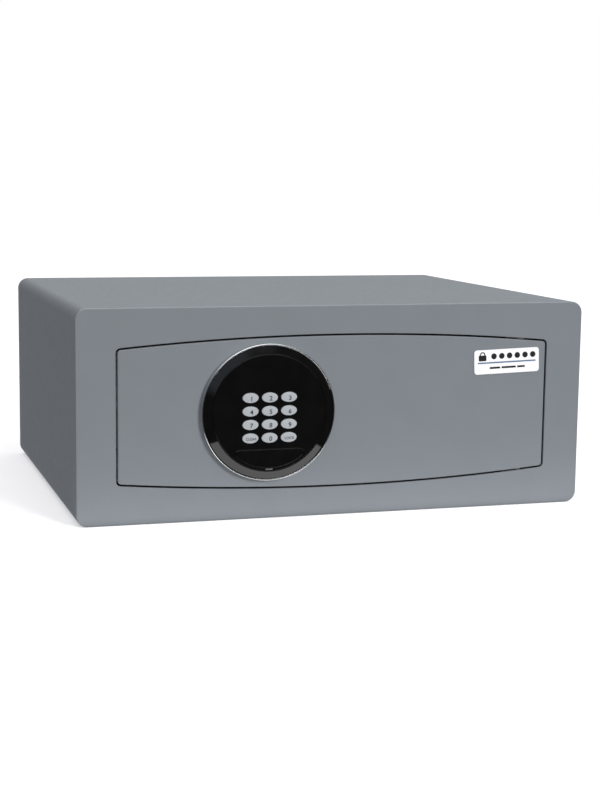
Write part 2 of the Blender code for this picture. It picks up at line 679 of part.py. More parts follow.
def make_control_board(body):
    near, far = y_at(8 * MM), y_at(9.6 * MM)
    low = (BOARD_LEFT, near, DOOR_Z - BOARD_HALF_H)
    board = box("control_board", low, (BOARD_RIGHT, far, DOOR_Z + BOARD_HALF_H))
    sink = 0.5 * MM  # how deep each component's helper sinks into the board
    components = (
        ("relay", 40, 12, 16, 20, 14),
        ("buzzer", 8, 20, 12, 12, 8),
        ("chip", 14, -14, 22, 10, 3),
        ("connector", 48, -26, 16, 7, 6),
    )
    for name, x, z, width, height, tall in components:
        low = (BOARD_LEFT + x * MM, far - sink, DOOR_Z + z * MM)
        high = (low[0] + width * MM, far + tall * MM, low[2] + height * MM)
        join(board, box(name, low, high))
    place(board, "board_green", body)


# ---------------------------------------------------------------- keypad module


def pad_point(height, dx=0.0, dz=0.0):
    """A point at a height in front of the door, offset from the keypad module's axis."""
    return Vector((PAD_X + dx, y_at(-height), PAD_Z + dz))


def key_centres():
    for row, names in enumerate(KEY_ROWS):
        for column, name in enumerate(names):
            dx = (column - 1) * KEY_PITCH_X
            dz = (1.5 - row) * KEY_PITCH_Z - KEYS_DROP
            yield name, dx, dz


def key_holes(grow, steps=16):
    half_w, half_h = KEY_W / 2 + grow, KEY_H / 2 + grow
    return [ellipse(PAD_X + dx, PAD_Z + dz, half_w, half_h, steps) for _, dx, dz in key_centres()]


def make_bezel(body):
    inner = RING_R - RING_T
    lip, shoulder = 0.3 * MM, 0.5 * MM
    profile = [(inner, RING_PROUD - lip), (inner + lip, RING_PROUD), (RING_R - shoulder, RING_PROUD)]
    profile += [(RING_R, RING_PROUD - shoulder), (RING_R, GAP), (inner, GAP)]
    ring = turned("bezel_ring", profile, "-Y", pad_point(0), PAD_STEPS, closed=True)
    place(ring, "chrome", body)


def make_housing(body):
    """Black dish with a sloping rim; the lens sits in the recess inside the rim."""
    recess_r = LENS_R + GAP
    wall, crest = 2 * MM, 0.4 * MM
    profile = [
        (0, HOUSING_TOP),
        (recess_r, HOUSING_TOP),
        (recess_r, FACE_PROUD),
        (recess_r + crest, FACE_PROUD),
        (BEVEL_R, BEVEL_LOW),
        (BEVEL_R, GAP),
        (BEVEL_R - wall, GAP),
        (BEVEL_R - wall, BEVEL_LOW - wall),
        (recess_r, HOUSING_UNDER),
        (0, HOUSING_UNDER),
    ]
    housing = turned("keypad_housing", profile, "-Y", pad_point(0), PAD_STEPS)
    near, far = y_at(-FACE_PROUD), y_at(-HOUSING_UNDER + MM)
    cut(housing, prism("key_cutters", key_holes(GAP), "XZ", near, far))
    window = rounded_rect(PAD_X, PAD_Z + WINDOW_RISE, WINDOW_W, WINDOW_H, 2 * MM, 2)
    cut(housing, prism("display_cutter", [window], "XZ", near, far))
    cut(housing, prism("service_cutter", [service_outline(3 * MM)], "XZ", near, far))
    place(housing, "black_gloss", body)


def make_lens(body):
    disc = ellipse(PAD_X, PAD_Z, LENS_R, LENS_R, PAD_STEPS)
    loops = [disc, service_outline(0), *key_holes(GAP)]
    lens = prism("fascia_lens", loops, "XZ", y_at(-FACE_PROUD), y_at(-FACE_PROUD + LENS_T))
    place(lens, "black_gloss", body)


def make_pad_inside(body):
    front = y_at(-HOUSING_UNDER + GAP)
    half_w, half_h = WINDOW_W / 2 + MM, WINDOW_H / 2 + MM
    low = (PAD_X - half_w, front, PAD_Z + WINDOW_RISE - half_h)
    mat_top, mat_low, board_top, board_low = 2.9 * MM, 2.2 * MM, 1.9 * MM, 0.7 * MM
    high = (PAD_X + half_w, y_at(-mat_low), PAD_Z + WINDOW_RISE + half_h)
    place(box("display_module", low, high), "black_matt", body)

    mat = rounded_rect(PAD_X, PAD_Z - KEYS_DROP, MAT_W, MAT_H, 3 * MM, 2)
    place(prism("key_mat", [mat], "XZ", y_at(-mat_top), y_at(-mat_low)), "silicone", body)

    low = (PAD_X - PAD_BOARD_HALF_W, y_at(-board_top), PAD_Z - PAD_BOARD_DOWN)
    high = (PAD_X + PAD_BOARD_HALF_W, y_at(-board_low), PAD_Z + PAD_BOARD_UP)
    place(box("keypad_board", low, high), "board_green", body)


def make_cable(body):
    """Flat ribbon from the keypad board, through the door plate's slot, to the control board."""
    half_t, half_w = 0.5 * MM, 6 * MM
    bend, board_x = 5 * MM, BOARD_LEFT - GAP
    start_x, run = CABLE_X - half_w / 2, y_at(9 * MM)
    centre_x, centre_y = start_x + bend, run - bend
    outer = arc(centre_x, centre_y, bend + half_t, 180, 90, 6)
    inner = arc(centre_x, centre_y, bend - half_t, 90, 180, 6)
    near = y_at(-0.4 * MM)
    outline = [(start_x - half_t, near), *outer, (board_x, run + half_t)]
    outline += [(board_x, run - half_t), *inner, (start_x + half_t, near)]
    place(prism("keypad_cable", [outline], "XY", CABLE_Z - half_w, CABLE_Z + half_w), "silicone", body)


def make_lock_barrel(body):
    """Fixed tube of the override key lock, with a flange behind the service cover."""
    bore = PLUG_R + GAP
    flange_r, front = 8.2 * MM, 4.7 * MM
    profile = [(bore, front), (flange_r, front), (flange_r, front - MM), (LOCK_R, front - MM)]
    profile += [(LOCK_R, -LOCK_BACK), (bore, -LOCK_BACK)]
    barrel = turned("override_lock_body", profile, "-Y", pad_point(0, dz=-LOCK_DROP), 24, closed=True)
    place(barrel, "brass", body)


def make_label(body):
    flat = rounded_rect(0, 0, LABEL_W, LABEL_H, LABEL_R, 4)
    turn = Matrix.Rotation(LABEL_TILT, 2)
    points = [turn @ Vector(point) for point in flat]
    outline = [(LABEL_X + point.x, LABEL_Z + point.y) for point in points]
    place(prism("front_label", [outline], "XZ", y_at(-GAP - LABEL_T), y_at(-GAP)), "white", body)


def make_door(body):
    make_door_plate(body)
    for name, side in (("upper", 1), ("lower", -1)):
        make_hinge_lug(body, name, side)
    make_inner_cover(body)
    make_cover_screws(body)
    make_battery_bay(body)
    make_drive(body)
    make_control_board(body)
    make_bezel(body)
    make_housing(body)
    make_lens(body)
    make_pad_inside(body)
    make_cable(body)
    make_lock_barrel(body)
    make_label(body)


# ---------------------------------------------------------------- moving pieces of the door


def make_bolts(door):
    """Two round bolts on one carriage. At rest they are drawn in; the carriage slides towards -X."""
    body = empty("bolts_slide", (BOLT_TIP_X + BOLT_L, y_at(BOLT_DEPTH), DOOR_Z), door)
    chamfer = MM
    for name, side in (("upper", 1), ("lower", -1)):
        profile = [(0, BOLT_L), (BOLT_R - chamfer, BOLT_L), (BOLT_R, BOLT_L - chamfer), (BOLT_R, 0), (0, 0)]
        position = (BOLT_TIP_X + BOLT_L, y_at(BOLT_DEPTH), DOOR_Z + side * BOLT_RISE)
        place(turned(f"lock_bolt_{name}", profile, "-X", position, 24), "steel", body)
    carriage = prism("bolt_carriage", [rack_outline()], "XZ", y_at(GEAR_NEAR), y_at(GEAR_FAR))
    place(carriage, "zinc", body)


def make_pinion(door):
    origin = (GEAR_X, y_at(GEAR_NEAR), RACK_Z + PITCH_R)
    body = empty("pinion_axis", origin, door)
    pinion = prism("drive_pinion", [pinion_outline()], "XZ", y_at(GEAR_NEAR), y_at(GEAR_FAR), origin)
    hub_r, hub_l, hub_proud = 4 * MM, 10 * MM, 0.6 * MM
    hub_start = Vector(origin) - Vector((0, hub_proud, 0))
    join(pinion, cylinder("pinion_hub", "+Y", hub_start, hub_r, hub_l, 16))
    place(pinion, "brass", body)


def make_override(door):
    axis = pad_point(0, dz=-LOCK_DROP)
    body = empty("override_axis", axis, door)
    front, back = 4.3 * MM, LOCK_BACK + 2.2 * MM
    plug = turned(
        "override_plug", [(0, front), (PLUG_R, front), (PLUG_R, -back), (0, -back)], "-Y", axis, 24
    )
    slot_w, slot_h, slot_deep = 1.2 * MM, 7 * MM, 10 * MM
    low = axis + Vector((-slot_w / 2, -front - MM, -slot_h / 2))
    high = axis + Vector((slot_w / 2, -front + slot_deep, slot_h / 2))
    cut(plug, box("key_slot", low, high))
    place(plug, "brass", body)

    near = y_at(back + GAP)
    reach, heel, cam_h = 26 * MM, 5 * MM, 9 * MM
    middle_x, z = PAD_X + (heel - reach) / 2, PAD_Z - LOCK_DROP
    outline = rounded_rect(middle_x, z, reach + heel, cam_h, 4 * MM, 3)
    place(prism("override_cam", [outline], "XZ", near, near + 2 * MM, axis), "zinc", body)


def make_service_cover(door):
    origin = pad_point(0, dz=-LOCK_DROP)
    body = empty("service_cover_pull", origin, door)
    near, far = y_at(-FACE_PROUD), y_at(-FACE_PROUD + LENS_T)
    cover = prism("service_cover", [service_outline(GAP)], "XZ", near, far, origin)
    clip_top, clip_back, sink = PAD_Z - SERVICE_CHORD - 4 * MM, y_at(-3.5 * MM), 0.4 * MM
    for side in (-1, 1):
        x = PAD_X + side * CLIP_X
        low = (x - CLIP_W / 2, far - sink, clip_top - CLIP_H)
        high = (x + CLIP_W / 2, clip_back, clip_top)
        join(cover, box(f"cover_clip_{side}", low, high))
    place(cover, "black_gloss", body)


def make_battery_lid(door):
    near = COVER_BACK + GAP
    origin = (BATTERY_X, y_at(near), DOOR_Z)
    body = empty("battery_lid_slide", origin, door)
    outline = rounded_rect(BATTERY_X, DOOR_Z, LID_W, LID_H, 2 * MM, 2)
    lid = prism("battery_lid", [outline], "XZ", y_at(near), y_at(near + LID_T), origin)
    half_w, tall, ridge_h, pitch, sink = 0.8 * MM, 0.8 * MM, 26 * MM, 4 * MM, 0.5 * MM
    outside = y_at(near + LID_T)
    for number in range(3):
        x = BATTERY_X - LID_W / 2 + (2 + number) * pitch
        low = (x - half_w, outside - sink, DOOR_Z - ridge_h / 2)
        high = (x + half_w, outside + tall, DOOR_Z + ridge_h / 2)
        join(lid, box(f"lid_ridge_{number}", low, high))
    place(lid, "black_matt", body)


def make_keys(door):
    """Twelve domed elliptical keys. Each is turned round its own axis and narrowed across its height."""
    radius, flange = KEY_W / 2, 0.8 * MM
    under, flange_top = HOUSING_UNDER - MM, HOUSING_UNDER - GAP
    profile = [
        (0, KEY_PROUD),
        (0.68 * radius, KEY_PROUD - 0.3 * KEY_CROWN),
        (radius, KEY_PROUD - KEY_CROWN),
        (radius, flange_top),
        (radius + flange, flange_top),
        (radius + flange, under),
        (0, under),
    ]
    for name, dx, dz in key_centres():
        axis = pad_point(0, dx, dz)
        body = empty(f"key_{name}_slide", axis, door)
        key = turned(f"key_{name}", profile, "-Y", axis, 16)
        key.matrix_world = key.matrix_world @ Matrix.Diagonal((1, KEY_H / KEY_W, 1, 1))
        place(key, "key_grey", body)


def main():
    cabinet = empty("cabinet_body", (0, 0, 0))
    make_cabinet(cabinet)
    door = empty("door_axis", (HINGE_X, y_at(HINGE_DEPTH), DOOR_Z), cabinet)
    make_door(door)
    make_bolts(door)
    make_pinion(door)
    make_override(door)
    make_service_cover(door)
    make_battery_lid(door)
    make_keys(door)


clear_scene()
PARTS = new_collection("in_room_safe")
CUTTERS = new_collection("cutters", hidden=True)
main()
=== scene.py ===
"""Looks of the in-room safe: a grey powder-coated cabinet with a flush arched door and a round keypad.

Lengths are in metres, and MM turns millimetres into metres. The front face lies in a plane of constant Y,
so most pieces are drawn as outlines of (x, z) points there and given depths, which are measured backwards
from that plane: a negative depth stands proud of it.
"""

import math

import bmesh
import bpy
from mathutils import Matrix, Vector


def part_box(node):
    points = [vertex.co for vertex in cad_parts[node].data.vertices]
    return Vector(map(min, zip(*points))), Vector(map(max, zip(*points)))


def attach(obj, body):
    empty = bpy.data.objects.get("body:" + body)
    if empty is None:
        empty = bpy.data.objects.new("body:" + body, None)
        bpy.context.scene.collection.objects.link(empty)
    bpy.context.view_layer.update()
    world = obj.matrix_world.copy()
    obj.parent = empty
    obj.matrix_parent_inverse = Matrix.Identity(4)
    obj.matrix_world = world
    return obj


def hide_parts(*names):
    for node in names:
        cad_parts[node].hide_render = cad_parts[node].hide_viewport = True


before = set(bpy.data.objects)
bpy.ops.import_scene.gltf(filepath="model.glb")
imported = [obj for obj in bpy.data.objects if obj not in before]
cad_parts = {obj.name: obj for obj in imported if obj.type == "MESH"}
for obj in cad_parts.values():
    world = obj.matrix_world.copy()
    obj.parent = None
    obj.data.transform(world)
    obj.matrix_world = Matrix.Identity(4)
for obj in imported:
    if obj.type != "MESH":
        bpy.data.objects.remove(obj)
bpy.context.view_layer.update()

MM = 0.001
GAP = 0.3 * MM

# -------- places, read from the frame

SHELL_LOW, SHELL_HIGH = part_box("outer_shell")
FRAME_LOW, FRAME_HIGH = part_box("front_frame")
DOOR_LOW, DOOR_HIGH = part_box("door_plate")
PANEL_LOW, PANEL_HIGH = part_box("back_panel")
RING_LOW, RING_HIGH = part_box("bezel_ring")
COVER_LOW, COVER_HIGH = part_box("door_inner_cover")
LID_LOW, LID_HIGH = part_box("battery_lid")

FRONT = FRAME_LOW.y
MID_Z = (SHELL_LOW.z + SHELL_HIGH.z) / 2
BODY_W, BODY_H = SHELL_HIGH.x - SHELL_LOW.x, SHELL_HIGH.z - SHELL_LOW.z
BODY_D = SHELL_HIGH.y - FRONT
FRAME_T = FRAME_HIGH.y - FRONT
DOOR_HALF_W, DOOR_HALF_H = DOOR_HIGH.x, DOOR_HIGH.z - MID_Z
DOOR_T = DOOR_HIGH.y - DOOR_LOW.y
PAD_X, PAD_Z = (RING_LOW.x + RING_HIGH.x) / 2, (RING_LOW.z + RING_HIGH.z) / 2
PAD_AXIS = Vector((PAD_X, FRONT, PAD_Z))

# -------- design sizes

EDGE_R = 11 * MM
SHELL_T = 2 * MM
FRONT_FILLET = 1.3 * MM
FIX_X, FIX_R, BASE_FIX_DEPTH = 150 * MM, 6 * MM, 215 * MM

ARCH_R = 2310 * MM
DOOR_GAP = 1.7 * MM
DOOR_CORNER_R = 3 * MM

RING_R, RING_T, RING_PROUD = 64.2 * MM, 1.2 * MM, 6.0 * MM
BEVEL_R, BEVEL_LOW, FACE_PROUD = 62.7 * MM, 5.0 * MM, 8.0 * MM
LENS_R, LENS_T = 54.6 * MM, 1.0 * MM
HOUSING_TOP, HOUSING_UNDER = 6.7 * MM, 5.2 * MM
KEY_W, KEY_H, KEY_TOP = 15.4 * MM, 9.4 * MM, 9.0 * MM
KEY_DOME, KEY_SHOULDER = 0.42 * MM, 0.5 * MM  # how far a key's top falls to its edge, and its edge's radius
SERVICE_R, SERVICE_CHORD, SERVICE_CORNER = 52.0 * MM, 34.2 * MM, 4.0 * MM
TAB_RISE, TAB_W, TAB_H = 53.2 * MM, 7.4 * MM, 1.9 * MM
LOCK_DROP, LOCK_R, PLUG_R, LOCK_BACK = 43 * MM, 7.0 * MM, 5.0 * MM, 24 * MM
CABLE_X, CABLE_Z = -62 * MM, 100 * MM
CABLE_SLOT_W, CABLE_SLOT_H = 20 * MM, 16 * MM
WINDOW_RISE, WINDOW_W, WINDOW_H = 35.5 * MM, 46 * MM, 15 * MM
CLIP_X = 20 * MM

COVER_HALF_H, COVER_T = 54 * MM, 1.5 * MM
SCREW_R, SCREW_L, SCREW_HEAD_R, SCREW_HEAD_T = 1.6 * MM, 4.2 * MM, 3.4 * MM, 1.8 * MM
LID_T, LID_TRAVEL = 2.2 * MM, 70 * MM

KEY_LEGENDS = {digit: digit for digit in "123456789"} | {"clear": "CLEAR", "0": "0", "lock": "LOCK"}

LABEL_TILT = math.radians(1.9)
LABEL_W, LABEL_H, LABEL_R = 68.2 * MM, 23.7 * MM, 3 * MM
PADLOCK_X = -25.5 * MM


# -------- outlines


def arc(cx, cy, radius, start, end, steps):
    angles = [math.radians(start + (end - start) * i / steps) for i in range(steps + 1)]
    return [(cx + radius * math.cos(a), cy + radius * math.sin(a)) for a in angles]


def ellipse(cx, cy, rx, ry, steps):
    turn = 2 * math.pi / steps
    return [(cx + rx * math.cos(i * turn), cy + ry * math.sin(i * turn)) for i in range(steps)]


def circle(cx, cy, radius, steps=64):
    return ellipse(cx, cy, radius, radius, steps)


def rounded_rect(cx, cy, width, height, radius, steps=8):
    points = []
    for turn, (sx, sy) in enumerate(((1, 1), (-1, 1), (-1, -1), (1, -1))):
        x = cx + sx * (width / 2 - radius)
        y = cy + sy * (height / 2 - radius)
        points += arc(x, y, radius, 90 * turn, 90 * turn + 90, steps)
    return points


def rect_ring(cx, cy, width, height, radius, steps=8):
    """The rounded rectangle as a function of how far its line has moved into the plate."""

    def ring(inset):
        corner = max(radius - inset, 0.1 * MM)
        return rounded_rect(cx, cy, width - 2 * inset, height - 2 * inset, corner, steps)

    return ring


def rect_hole(cx, cy, width, height, radius):
    return lambda inset: rounded_rect(cx, cy, width + 2 * inset, height + 2 * inset, radius + inset)


def round_hole(cx, cy, radius, steps=48):
    return lambda inset: circle(cx, cy, radius + inset, steps)


def arched_outline(grow, arch_steps=72, corner_steps=8):
    """The door's outline, grown outwards: straight sides, shallow arcs above and below, round corners."""
    half_w = DOOR_HALF_W + grow
    radius = ARCH_R + grow
    corner = DOOR_CORNER_R + grow
    drop = DOOR_HALF_H + grow - radius
    fillet_x = half_w - corner
    fillet_y = drop + math.sqrt((radius - corner) ** 2 - fillet_x**2)
    tangent = math.degrees(math.atan2(fillet_y - drop, fillet_x))
    top = arc(fillet_x, fillet_y, corner, 0, tangent, corner_steps)
    top += arc(0, drop, radius, tangent, 180 - tangent, arch_steps)[1:]
    top += arc(-fillet_x, fillet_y, corner, 180 - tangent, 180, corner_steps)[1:]
    bottom = [(-x, -y) for x, y in top]
    return [(x, MID_Z + y) for x, y in top + bottom]


def service_outline(inset, steps=56):
    """The service cover's outline: the segment of a disc below a chord, with rounded corners."""
    radius = SERVICE_R - inset
    chord = SERVICE_CHORD + inset
    corner = SERVICE_CORNER - min(inset, 2 * MM)
    x = math.sqrt((radius - corner) ** 2 - (chord + corner) ** 2)
    tangent = math.degrees(math.atan2(-(chord + corner), x))
    points = arc(-x, -chord - corner, corner, 90, 180 - tangent, 8)
    points += arc(0, 0, radius, -180 - tangent, tangent, steps)[1:-1]
    points += arc(x, -chord - corner, corner, tangent, 90, 8)
    return [(PAD_X + px, PAD_Z + py) for px, py in points]


# -------- meshes


def on_front(point, depth):
    """A point drawn on the front plane, at a depth behind it."""
    return Vector((point[0], FRONT + depth, point[1]))


def on_floor(point, height):
    """A point drawn on the floor plane, at a height above it."""
    return Vector((point[0], point[1], height))


class Shape:
    """A mesh under construction: loops of points, joined by strips and closed by fills."""

    def __init__(self):
        self.mesh = bmesh.new()

    def loop(self, points):
        return [self.mesh.verts.new(point) for point in points]

    def strip(self, first, second):
        """Faces between two loops of one count; a loop of one point makes a fan."""
        count = max(len(first), len(second))
        for i in range(count):
            corners = [first[i % len(first)], first[(i + 1) % count % len(first)]]
            corners += [second[(i + 1) % count % len(second)], second[i % len(second)]]
            self.mesh.faces.new(list(dict.fromkeys(corners)))

    def chain(self, rows, closed=False):
        loops = [self.loop(points) for points in rows]
        for first, second in zip(loops, loops[1:]):
            self.strip(first, second)
        if closed:
            self.strip(loops[-1], loops[0])
        return loops

    def sweep(self, ring, stations, lift=on_front):
        """The strips that a ring leaves as it moves through (inset, depth) stations."""
        return self.chain([[lift(point, depth) for point in ring(inset)] for inset, depth in stations])

    def fill(self, rims):
        """One flat face inside the first loop and outside the others."""
        if len(rims) == 1:
            self.mesh.faces.new(rims[0])
            return
        edges = []
        for rim in rims:
            for i, vert in enumerate(rim):
                edges.append(self.mesh.edges.get((vert, rim[(i + 1) % len(rim)])))
        bmesh.ops.triangle_fill(self.mesh, use_beauty=True, edges=edges)

    def weld(self, distance):
        bmesh.ops.remove_doubles(self.mesh, verts=self.mesh.verts, dist=distance)

    def to_object(self, name):
        bmesh.ops.recalc_face_normals(self.mesh, faces=self.mesh.faces)
        data = bpy.data.meshes.new(name)
        self.mesh.to_mesh(data)
        self.mesh.free()
        obj = bpy.data.objects.new(name, data)
        bpy.context.scene.collection.objects.link(obj)
        return obj


def rim(near, far, near_r=0.0, far_r=0.0, steps=5):
    """(inset, depth) stations across a plate's edge, rounded at its near and its far face."""
    quarter = [math.radians(90 * i / steps) for i in range(steps + 1)]
    first, last = [(0.0, near)], [(0.0, far)]
    if near_r:
        first = [(near_r * (1 - math.sin(a)), near + near_r * (1 - math.cos(a))) for a in quarter]
    if far_r:
        last = [(far_r * (1 - math.sin(a)), far - far_r * (1 - math.cos(a))) for a in quarter[::-1]]
    return first + last


def plate(name, rings, stations, lift=on_front):
    """A flat piece. Each ring turns an inset into an outline: the first is its edge, the others holes."""
    shape = Shape()
    near_rims, far_rims = [], []
    for ring in rings:
        loops = shape.sweep(ring, stations, lift)
        near_rims.append(loops[0])
        far_rims.append(loops[-1])
    shape.fill(near_rims)
    shape.fill(far_rims)
    return shape.to_object(name)


def capped(name, rows):
    """A solid of rows of points, with a flat face at its first and last row."""
    shape = Shape()
    loops = shape.chain(rows)
    shape.fill([loops[0]])
    shape.fill([loops[-1]])
    return shape.to_object(name)


def turned(name, profile, place, steps=96, closed=False):
    """A profile of (radius, height) points turned about Z, then placed; an open one ends on the axis."""
    rows = []
    for radius, height in profile:
        flat = circle(0, 0, radius, steps) if radius else [(0, 0)]
        rows.append([Vector((x, y, height)) for x, y in flat])
    shape = Shape()
    shape.chain(rows, closed)
    return settle(shape.to_object(name), place)


def settle(obj, place):
    """Puts a piece built about its own axis in its place, with its origin kept on that axis."""
    obj.matrix_world = place
    return obj


AXES = {
    "-Y": Matrix.Rotation(math.radians(90), 4, "X"),
    "+Y": Matrix.Rotation(math.radians(-90), 4, "X"),
    "-X": Matrix.Rotation(math.radians(-90), 4, "Y"),
    "+Z": Matrix.Identity(4),
}


def aim(position, axis):
    return Matrix.Translation(position) @ AXES[axis]


def evaluated_mesh(obj):
    bpy.context.view_layer.update()
    return bpy.data.meshes.new_from_object(obj.evaluated_get(bpy.context.evaluated_depsgraph_get()))


def baked(obj):
    """The object, with its modifiers applied to its mesh."""
    data = evaluated_mesh(obj)
    obj.modifiers.clear()
    obj.data = data
    return obj


def curve_shape(curve):
    """A curve or text as a shape."""
    source = bpy.data.objects.new("source", curve)
    bpy.context.scene.collection.objects.link(source)
    shape = Shape()
    shape.mesh.from_mesh(evaluated_mesh(source))
    bpy.data.objects.remove(source, do_unlink=True)
    return shape


def combine(obj, other, operation="DIFFERENCE"):
    """Cuts the other mesh away from the piece, or joins it on, and removes the other."""
    modifier = obj.modifiers.new("combine", "BOOLEAN")
    modifier.operation = operation
    modifier.solver = "EXACT"
    modifier.object = other
    baked(obj)
    bpy.data.objects.remove(other, do_unlink=True)
    return obj


def cutter_bar(axis, start, radius, length, steps=48):
    profile = [(0, 0), (radius, 0), (radius, length), (0, length)]
    return turned("cutter", profile, aim(start, axis), steps)


def dress(obj, material, angle=35, keep_sharp=True):
    """A material, and smooth shading in which the large flat faces stay flat."""
    obj.data.shade_smooth()
    obj.data.set_sharp_from_angle(angle=math.radians(angle))
    normals = obj.modifiers.new("flat_faces", "WEIGHTED_NORMAL")
    normals.weight = 100
    normals.keep_sharp = keep_sharp
    obj.data.materials.clear()
    obj.data.materials.append(material)


def fit(obj, material, body, slot, *nodes, angle=35):
    """Finishes a piece: its look, the body it rides on and the CAD nodes that it stands for. The slot is
    not used.
    """
    dress(obj, material, angle)
    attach(obj, body)
    if nodes:
        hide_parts(*nodes)


def soften(node, material, width=0.4 * MM, segments=2):
    """Gives a CAD node that stays in view rounded edges and a finish."""
    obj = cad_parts[node]
    weld = obj.modifiers.new("weld", "WELD")
    weld.merge_threshold = 0.005 * MM
    if width:
        edges = obj.modifiers.new("edges", "BEVEL")
        edges.width = width
        edges.segments = segments
        edges.limit_method = "ANGLE"
        edges.angle_limit = math.radians(40)
        edges.use_clamp_overlap = True
    dress(obj, material, keep_sharp=False)


# -------- materials


class Finish:
    """A Principled material whose colour, roughness and relief come from noise in the piece's own space."""

    def __init__(self, name, colour, roughness, metallic=0.0, **sockets):
        self.material = bpy.data.materials.new(name)
        self.material.use_nodes = True
        self.nodes = self.material.node_tree.nodes
        self.links = self.material.node_tree.links
        self.shader = self.nodes["Principled BSDF"]
        self.shader.inputs["Base Color"].default_value = (*colour, 1)
        self.shader.inputs["Roughness"].default_value = roughness
        self.shader.inputs["Metallic"].default_value = metallic
        for socket, value in sockets.items():
            self.shader.inputs[socket.replace("_", " ").title()].default_value = value
        self.colour = colour
        self.space = self.nodes.new("ShaderNodeTexCoord").outputs["Object"]
        self.normal = None

    def noise(self, scale, detail=3.0, stretch=(1, 1, 1)):
        mapping = self.nodes.new("ShaderNodeMapping")
        mapping.inputs["Scale"].default_value = [scale * s for s in stretch]
        noise = self.nodes.new("ShaderNodeTexNoise")
        noise.inputs["Scale"].default_value = 1.0
        noise.inputs["Detail"].default_value = detail
        self.links.new(self.space, mapping.inputs["Vector"])
        self.links.new(mapping.outputs["Vector"], noise.inputs["Vector"])
        return noise.outputs["Fac"]

    def spread(self, value, low, high, from_low=0.3, from_high=0.7):
        """The value, moved from its usual range to the range from low to high."""
        node = self.nodes.new("ShaderNodeMapRange")
        ends = {"From Min": from_low, "From Max": from_high, "To Min": low, "To Max": high}
        for socket, number in ends.items():
            node.inputs[socket].default_value = number
        self.links.new(value, node.inputs["Value"])
        return node.outputs["Result"]

    def mix(self, factor, first, second):
        """A colour between two colours, each a tuple or a socket."""
        node = self.nodes.new("ShaderNodeMix")
        node.data_type = "RGBA"
        self.links.new(factor, node.inputs["Factor"])
        for socket, colour in zip((node.inputs[6], node.inputs[7]), (first, second)):
            if isinstance(colour, tuple):
                socket.default_value = (*colour, 1)
            else:
                self.links.new(colour, socket)
        return node.outputs[2]

    def tint(self, scale, amount, **noise):
        """Lets the colour drift lighter and darker by a share."""
        factor = self.spread(self.noise(scale, **noise), 0, 1)
        dark = tuple(c * (1 - amount) for c in self.colour)
        light = tuple(c * (1 + amount) for c in self.colour)
        self.links.new(self.mix(factor, dark, light), self.shader.inputs["Base Color"])
        return self

    def paint(self, colour):
        self.links.new(colour, self.shader.inputs["Base Color"])
        return self

    def polish(self, scale, low, high, **noise):
        """Lets the roughness vary between two values."""
        self.links.new(self.spread(self.noise(scale, **noise), low, high), self.shader.inputs["Roughness"])
        return self

    def relief(self, height, value):
        """Adds a bump of a real height, in metres, to what is there."""
        bump = self.nodes.new("ShaderNodeBump")
        bump.inputs["Distance"].default_value = height
        bump.inputs["Strength"].default_value = 1.0
        self.links.new(value, bump.inputs["Height"])
        if self.normal:
            self.links.new(self.normal, bump.inputs["Normal"])
        self.normal = bump.outputs["Normal"]
        self.links.new(self.normal, self.shader.inputs["Normal"])
        return self

    def grain(self, scale, height, **noise):
        return self.relief(height, self.noise(scale, **noise))


def powder_coat():
    """Satin polyester powder: a very fine pebble over a faint long ripple."""
    coat = Finish("powder_coat_grey", (0.192, 0.211, 0.226), 0.46)
    coat.tint(26, 0.02).polish(140, 0.42, 0.5)
    return coat.grain(110, 0.035 * MM, detail=1.0).grain(900, 0.022 * MM, detail=2.0).material


def felt():
    cloth = Finish("felt_charcoal", (0.028, 0.029, 0.033), 0.95, sheen_weight=0.35, sheen_roughness=0.5)
    cloth.tint(700, 0.55, detail=4.0)
    return cloth.grain(260, 0.25 * MM, detail=5.0).grain(1500, 0.15 * MM, detail=2.0).material


def zinc():
    """Passivated zinc plate: a dull sheen with patches that lean blue and yellow."""
    plated = Finish("zinc_plate", (0.56, 0.57, 0.58), 0.34, 1.0)
    patches = plated.spread(plated.noise(45, detail=4.0), 0, 1)
    plated.paint(plated.mix(patches, (0.52, 0.55, 0.59), (0.60, 0.59, 0.55)))
    return plated.polish(300, 0.26, 0.42).grain(700, 0.008 * MM).material


def turned_steel():
    steel = Finish("turned_steel", (0.62, 0.62, 0.63), 0.22, 1.0)
    steel.tint(60, 0.05).polish(2500, 0.16, 0.3, stretch=(0.05, 0.05, 1))
    return steel.grain(2600, 0.004 * MM, detail=1.0, stretch=(0.05, 0.05, 1)).material


def chrome():
    plated = Finish("bright_chrome", (0.82, 0.83, 0.84), 0.07, 1.0)
    return plated.tint(40, 0.02).polish(900, 0.05, 0.12).material


def piano_black():
    """High-gloss moulded black with a faint polishing haze."""
    gloss = Finish("gloss_black", (0.0035, 0.0035, 0.0037), 0.04)
    return gloss.tint(60, 0.2).polish(420, 0.03, 0.07, detail=4.0).material


def satin_black():
    """Spark-eroded mould texture on black plastic."""
    moulded = Finish("moulded_black", (0.018, 0.018, 0.019), 0.5)
    return moulded.tint(90, 0.12).polish(500, 0.42, 0.6).grain(1300, 0.03 * MM).material


def key_plastic():
    silver = Finish("key_silver_grey", (0.405, 0.43, 0.445), 0.38)
    return silver.tint(220, 0.02).polish(700, 0.32, 0.44).grain(2400, 0.004 * MM).material


def glint_tab_plastic():
    """Grey plastic of the finger tab. Its light grey is a painted highlight, in place of the glint at the
    notch.
    """
    moulded = Finish("tab_painted_glint", (0.095, 0.095, 0.095), 0.35)
    return moulded.tint(400, 0.08).polish(900, 0.28, 0.42).grain(1600, 0.01 * MM).material


def print_ink(name, colour):
    """Screen-printed ink, a little uneven in its film."""
    ink = Finish(name, colour, 0.5)
    return ink.tint(1800, 0.15).grain(3000, 0.004 * MM).material


